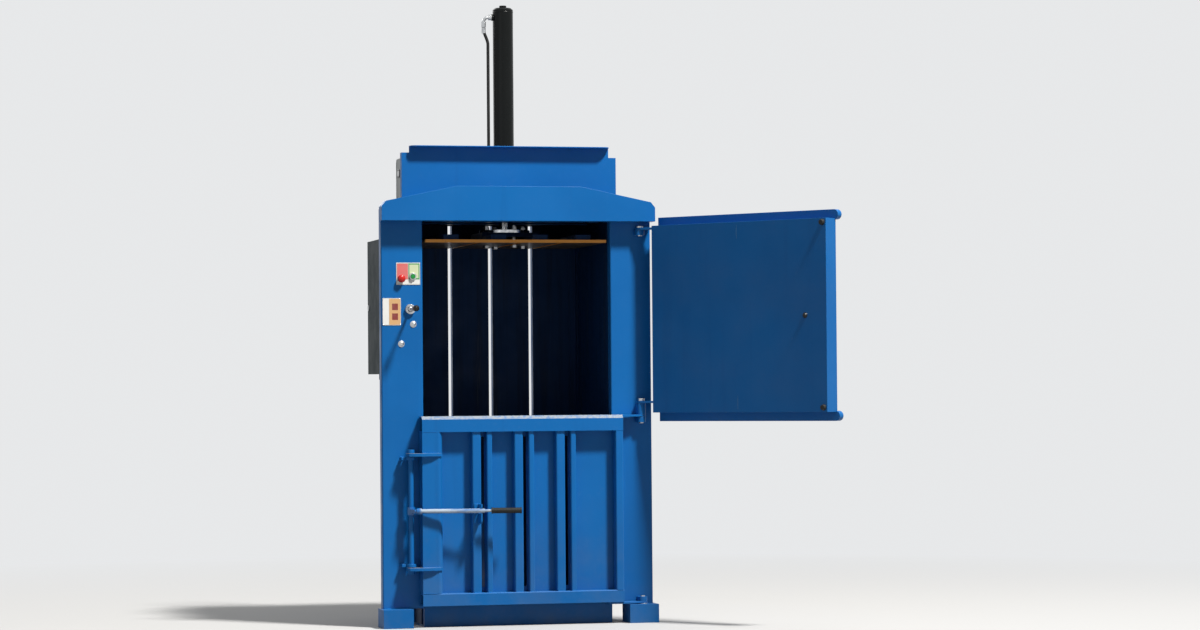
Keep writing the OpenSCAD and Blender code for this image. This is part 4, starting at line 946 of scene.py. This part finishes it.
class BALER_OT_small(bpy.types.Operator):
    """Add the small finish of bought-in pieces: grip ribs, sight glass, filler cap, fan grille, washers"""

    bl_idname = "baler.small"
    bl_label = "Finish Small Pieces"

    # Turned pieces, as distances along the axis and radii in millimetres
    grip_disc = ((-1.5, 7.5), (0.2, 7.5), (0.8, 6.2), (0.8, 0))
    post_washer = ((0, 12.5), (1.0, 12.5), (1.4, 11.6), (1.4, 0))
    flange_washer = ((0, 15.5), (1.6, 15.5), (1.6, 0))
    grille_shade_disc = ((-1, 3.2), (0.25, 3.2), (0.25, 0))
    lid_screw = ((0, 3.4), (0.3, 3.2), (0.35, 0))
    cable_gland = ((0, 9), (7, 9), (7, 7), (16, 7), (17, 5), (17, 0))
    # The motor: its shaft over the deck, its grille's rows of holes as dark discs of painted shade, and its
    # terminal box
    shaft_height = 92 * MM
    grille_rows = (20 * MM, 32 * MM, 44 * MM, 56 * MM)
    box_from_pump = 100 * MM
    box_half = 40 * MM
    lid_overhang = 1.5 * MM
    screw_inset = 6 * MM

    def grip(self):
        low, high = corners("lever_grip")
        middle, half = (low + high) / 2, (high.x - low.x) / 2
        along = (LEVER_TURN.to_3x3() @ Vector((1, 0, 0))).normalized()
        ribbed = half - 12 * MM
        bm = bmesh.new()
        for t in shares(16):
            ring(bm, middle + along * ribbed * (2 * t - 1), along, 10.3 * MM, 0.9 * MM, 28, 6)
        piece("grip_ribs", bm, "lock", "rubber")
        bm = bmesh.new()
        spun(bm, self.grip_disc, middle + along * (half - 1.2 * MM), along, 28)
        piece("grip_end_disc", bm, "lock", "rod")

    def washers(self):
        face = corners("left_post")[0].y
        flange = corners("deck_plate")[1].z + FLANGE
        bm = bmesh.new()
        for low, high in solids("frame_bolts"):
            middle = (low + high) / 2
            if low.y < face:
                spun(bm, self.post_washer, (middle.x, face, middle.z), (0, -1, 0), 32)
            else:
                spun(bm, self.flange_washer, (middle.x, middle.y, flange), (0, 0, 1), 32)
        piece("bolt_washers", bm, "frame", "steel")

    def sight_glass(self):
        tank = corners("oil_tank")[0]
        low, high = next(box for box in solids("tank_fittings") if box[0].x < tank.x - 1 * MM)
        middle = (low + high) / 2
        wide, tall = high.y - low.y, high.z - low.z
        window = 0.62 * min(wide, tall) / 2
        straight_y, straight_z = max(0, wide - tall) / 2, max(0, tall - wide) / 2
        outline = [(middle.y + window * math.cos(a) + math.copysign(straight_y, math.cos(a)),
                    middle.z + window * math.sin(a) + math.copysign(straight_z, math.sin(a)))
                   for a in turns(32)]
        bm = bmesh.new()
        tube(bm, [[bm.verts.new((x, y, z)) for y, z in outline] for x in (low.x - 0.6 * MM, low.x + 1 * MM)])
        piece("sight_glass_window", bm, "frame", "oil")

    def filler_cap(self):
        tank = corners("oil_tank")[1]
        low, high = next(box for box in solids("tank_fittings") if box[1].z > tank.z + 1 * MM)
        middle, radius = (low + high) / 2, 22.6 * MM
        bm = bmesh.new()
        for a in turns(24):
            x, y = middle.x + radius * math.cos(a), middle.y + radius * math.sin(a)
            swept(bm, [(x, y, tank.z + 3 * MM), (x, y, high.z - 2.5 * MM)], 1.3 * MM, 6)
        piece("filler_cap_ribs", bm, "frame", "knob")

    def motor(self):
        low, high = corners("motor")
        y, shaft = (low.y + high.y) / 2, corners("deck_plate")[1].z + self.shaft_height
        bm = bmesh.new()
        for row, radius in enumerate(self.grille_rows, 1):
            for a in turns(6 * row):
                at = (high.x, y + radius * math.cos(a), shaft + radius * math.sin(a))
                spun(bm, self.grille_shade_disc, at, (1, 0, 0), 10)
        piece("fan_grille_holes", bm, "frame", "shadow")
        x, lid = corners("pump")[1].x + self.box_from_pump, self.box_half + self.lid_overhang
        lid_top = high.z - 0.4 * MM
        bm = bmesh.new()
        block(bm, (x - lid, y - lid, high.z - 5 * MM), (x + lid, y + lid, lid_top))
        piece("terminal_lid", bm, "frame", "motor")
        bm = bmesh.new()
        reach = self.box_half - self.screw_inset
        for across in (-reach, reach):
            for along in (-reach, reach):
                spun(bm, self.lid_screw, (x + across, y + along, lid_top), (0, 0, 1), 16)
        spun(bm, self.cable_gland, (x, y - self.box_half, high.z - 22 * MM), (0, -1, 0), 24)
        piece("terminal_screws_and_gland", bm, "frame", "steel")

    def execute(self, context):
        for finish in (self.grip, self.washers, self.sight_glass, self.filler_cap, self.motor):
            finish()
        return {"FINISHED"}


class BALER_OT_stage(bpy.types.Operator):
    """Set the floor, the lamps, the room light and the camera"""

    bl_idname = "baler.stage"
    bl_label = "Studio and Camera"

    # The photograph's camera, worked out from the machine's own edges
    camera_at = (-2.883, -13.211, 0.886)
    heading = 0.244
    rise = 0.023
    roll = -0.008
    focal_px = 3428.0
    # The room: its colour behind the machine, the light that the floor sends back, and the floor's reach
    backdrop = (0.80, 0.81, 0.82)
    bounce = (0.26, 0.26, 0.26)
    floor_radius = 60
    floor_fades = (1.6, 5.5)
    # Each lamp: its setting, place, aim, width and height, and colour
    lamps = (
        ("key", (5.2, -7.5, 14.5), (0.1, 0, 1.1), (1.8, 1.8), (1.0, 0.98, 0.95)),
        ("fill", (-6.5, -6.5, 2.6), (0, 0, 1.0), (4.5, 4.0), (0.95, 0.98, 1.0)),
        ("back", (-2.5, 6.5, 5.0), (0, 0, 1.4), (4.0, 3.0), (1, 1, 1)),
    )

    def lamp(self, name, at, aim, size, colour, power):
        data = bpy.data.lights.new(name, "AREA")
        data.shape = "RECTANGLE"
        data.size, data.size_y = size
        data.energy = power
        data.color = colour
        obj = placed(name, data)
        obj.location = at
        obj.rotation_mode = "QUATERNION"
        obj.rotation_quaternion = (Vector(aim) - Vector(at)).to_track_quat("-Z", "Y")

    def shown(self, tree):
        """1 for the rays that see the pale room: from the camera, or by way of gloss or glass."""
        path = tree.nodes.new("ShaderNodeLightPath")
        seen = path.outputs["Is Camera Ray"]
        for ray in ("Is Transmission Ray", "Is Glossy Ray"):
            seen = combined(tree, "MAXIMUM", seen, path.outputs[ray])
        return seen

    def room(self, strength):
        """Even light on the machine, with the backdrop's colour behind it."""
        world = bpy.data.worlds.new("studio_room")
        bpy.context.scene.world = world
        world.use_nodes = True
        tree = world.node_tree
        light, seen = tree.nodes["Background"], tree.nodes.new("ShaderNodeBackground")
        preset(light, {"Color": (1, 1, 1, 1), "Strength": strength})
        preset(seen, {"Color": (*self.backdrop, 1), "Strength": 1.0})
        surface = mixed(tree, self.shown(tree), light.outputs["Background"], seen.outputs["Background"])
        tree.links.new(surface, tree.nodes["World Output"].inputs["Surface"])

    def floor_finish(self, colour):
        """Pale floor that takes the shadow and fades out; it sends back little light, as open ground does."""
        r = Recipe("studio_floor", colour, 0.7, specular=0.2)
        away = r.nodes.new("ShaderNodeVectorMath")
        away.operation = "LENGTH"
        r.links.new(r.place, away.inputs[0])
        glow, ground = r.nodes.new("ShaderNodeEmission"), r.nodes.new("ShaderNodeBsdfDiffuse")
        preset(glow, {"Color": (*self.backdrop, 1)})
        preset(ground, {"Color": (*self.bounce, 1)})
        seen = mixed(r.tree, r.ranged(away.outputs["Value"], *self.floor_fades),
                     r.shader.outputs["BSDF"], glow.outputs["Emission"])
        surface = mixed(r.tree, self.shown(r.tree), ground.outputs["BSDF"], seen)
        r.links.new(surface, r.nodes["Material Output"].inputs["Surface"])
        return r.material

    def camera(self):
        forward = Vector((math.sin(self.heading) * math.cos(self.rise),
                          math.cos(self.heading) * math.cos(self.rise), math.sin(self.rise)))
        right = Vector((math.cos(self.heading), -math.sin(self.heading), 0))
        up = right.cross(forward)
        side = right * math.cos(self.roll) + up * math.sin(self.roll)
        top = up * math.cos(self.roll) - right * math.sin(self.roll)
        data = bpy.data.cameras.new("photo_camera")
        data.sensor_width = SENSOR_WIDTH
        data.lens = self.focal_px / PHOTO_WIDTH * SENSOR_WIDTH
        obj = placed("photo_camera", data)
        turn = Matrix((side, top, -forward)).transposed().to_4x4()
        obj.matrix_world = Matrix.Translation(self.camera_at) @ turn
        bpy.context.scene.camera = obj

    def execute(self, context):
        stage = context.scene.baler_stage
        bm = bmesh.new()
        bmesh.ops.create_circle(bm, cap_ends=True, segments=96, radius=self.floor_radius)
        floor = placed("studio_floor", from_bmesh("studio_floor", bm))
        floor.data.materials.append(self.floor_finish(tuple(stage.floor)))
        for setting, at, aim, size, colour in self.lamps:
            self.lamp(setting + "_lamp", at, aim, size, colour, getattr(stage, setting))
        self.room(stage.sky)
        self.camera()
        context.scene.view_settings.view_transform = "Standard"
        return {"FINISHED"}


SETTINGS = {"baler_paint": PaintSettings, "baler_edges": EdgeSettings, "baler_stage": StageSettings}
OPERATORS = (
    BALER_OT_paint, BALER_OT_metal, BALER_OT_soft, BALER_OT_welds, BALER_OT_plates, BALER_OT_door_marks,
    BALER_OT_hoses, BALER_OT_small, BALER_OT_stage,
)


class BALER_PT_panel(bpy.types.Panel):
    """Lists the steps that dress the baler"""

    bl_idname = "BALER_PT_panel"
    bl_label = "Recycling Baler"
    bl_space_type = "VIEW_3D"
    bl_region_type = "UI"
    bl_category = "Baler"

    def draw(self, context):
        for operator in OPERATORS:
            self.layout.operator(operator.bl_idname)
        for group in SETTINGS:
            box = self.layout.box()
            for name in SETTINGS[group].__annotations__:
                box.prop(getattr(context.scene, group), name)


CLASSES = (*SETTINGS.values(), *OPERATORS, BALER_PT_panel)


def register():
    for cls in CLASSES:
        bpy.utils.register_class(cls)
    for name, group in SETTINGS.items():
        setattr(bpy.types.Scene, name, bpy.props.PointerProperty(type=group))


def unregister():
    for name in SETTINGS:
        delattr(bpy.types.Scene, name)
    for cls in reversed(CLASSES):
        bpy.utils.unregister_class(cls)


def main():
    register()
    for operator in OPERATORS:
        group, name = operator.bl_idname.split(".")
        getattr(getattr(bpy.ops, group), name)()


if __name__ == "__main__":
    main()
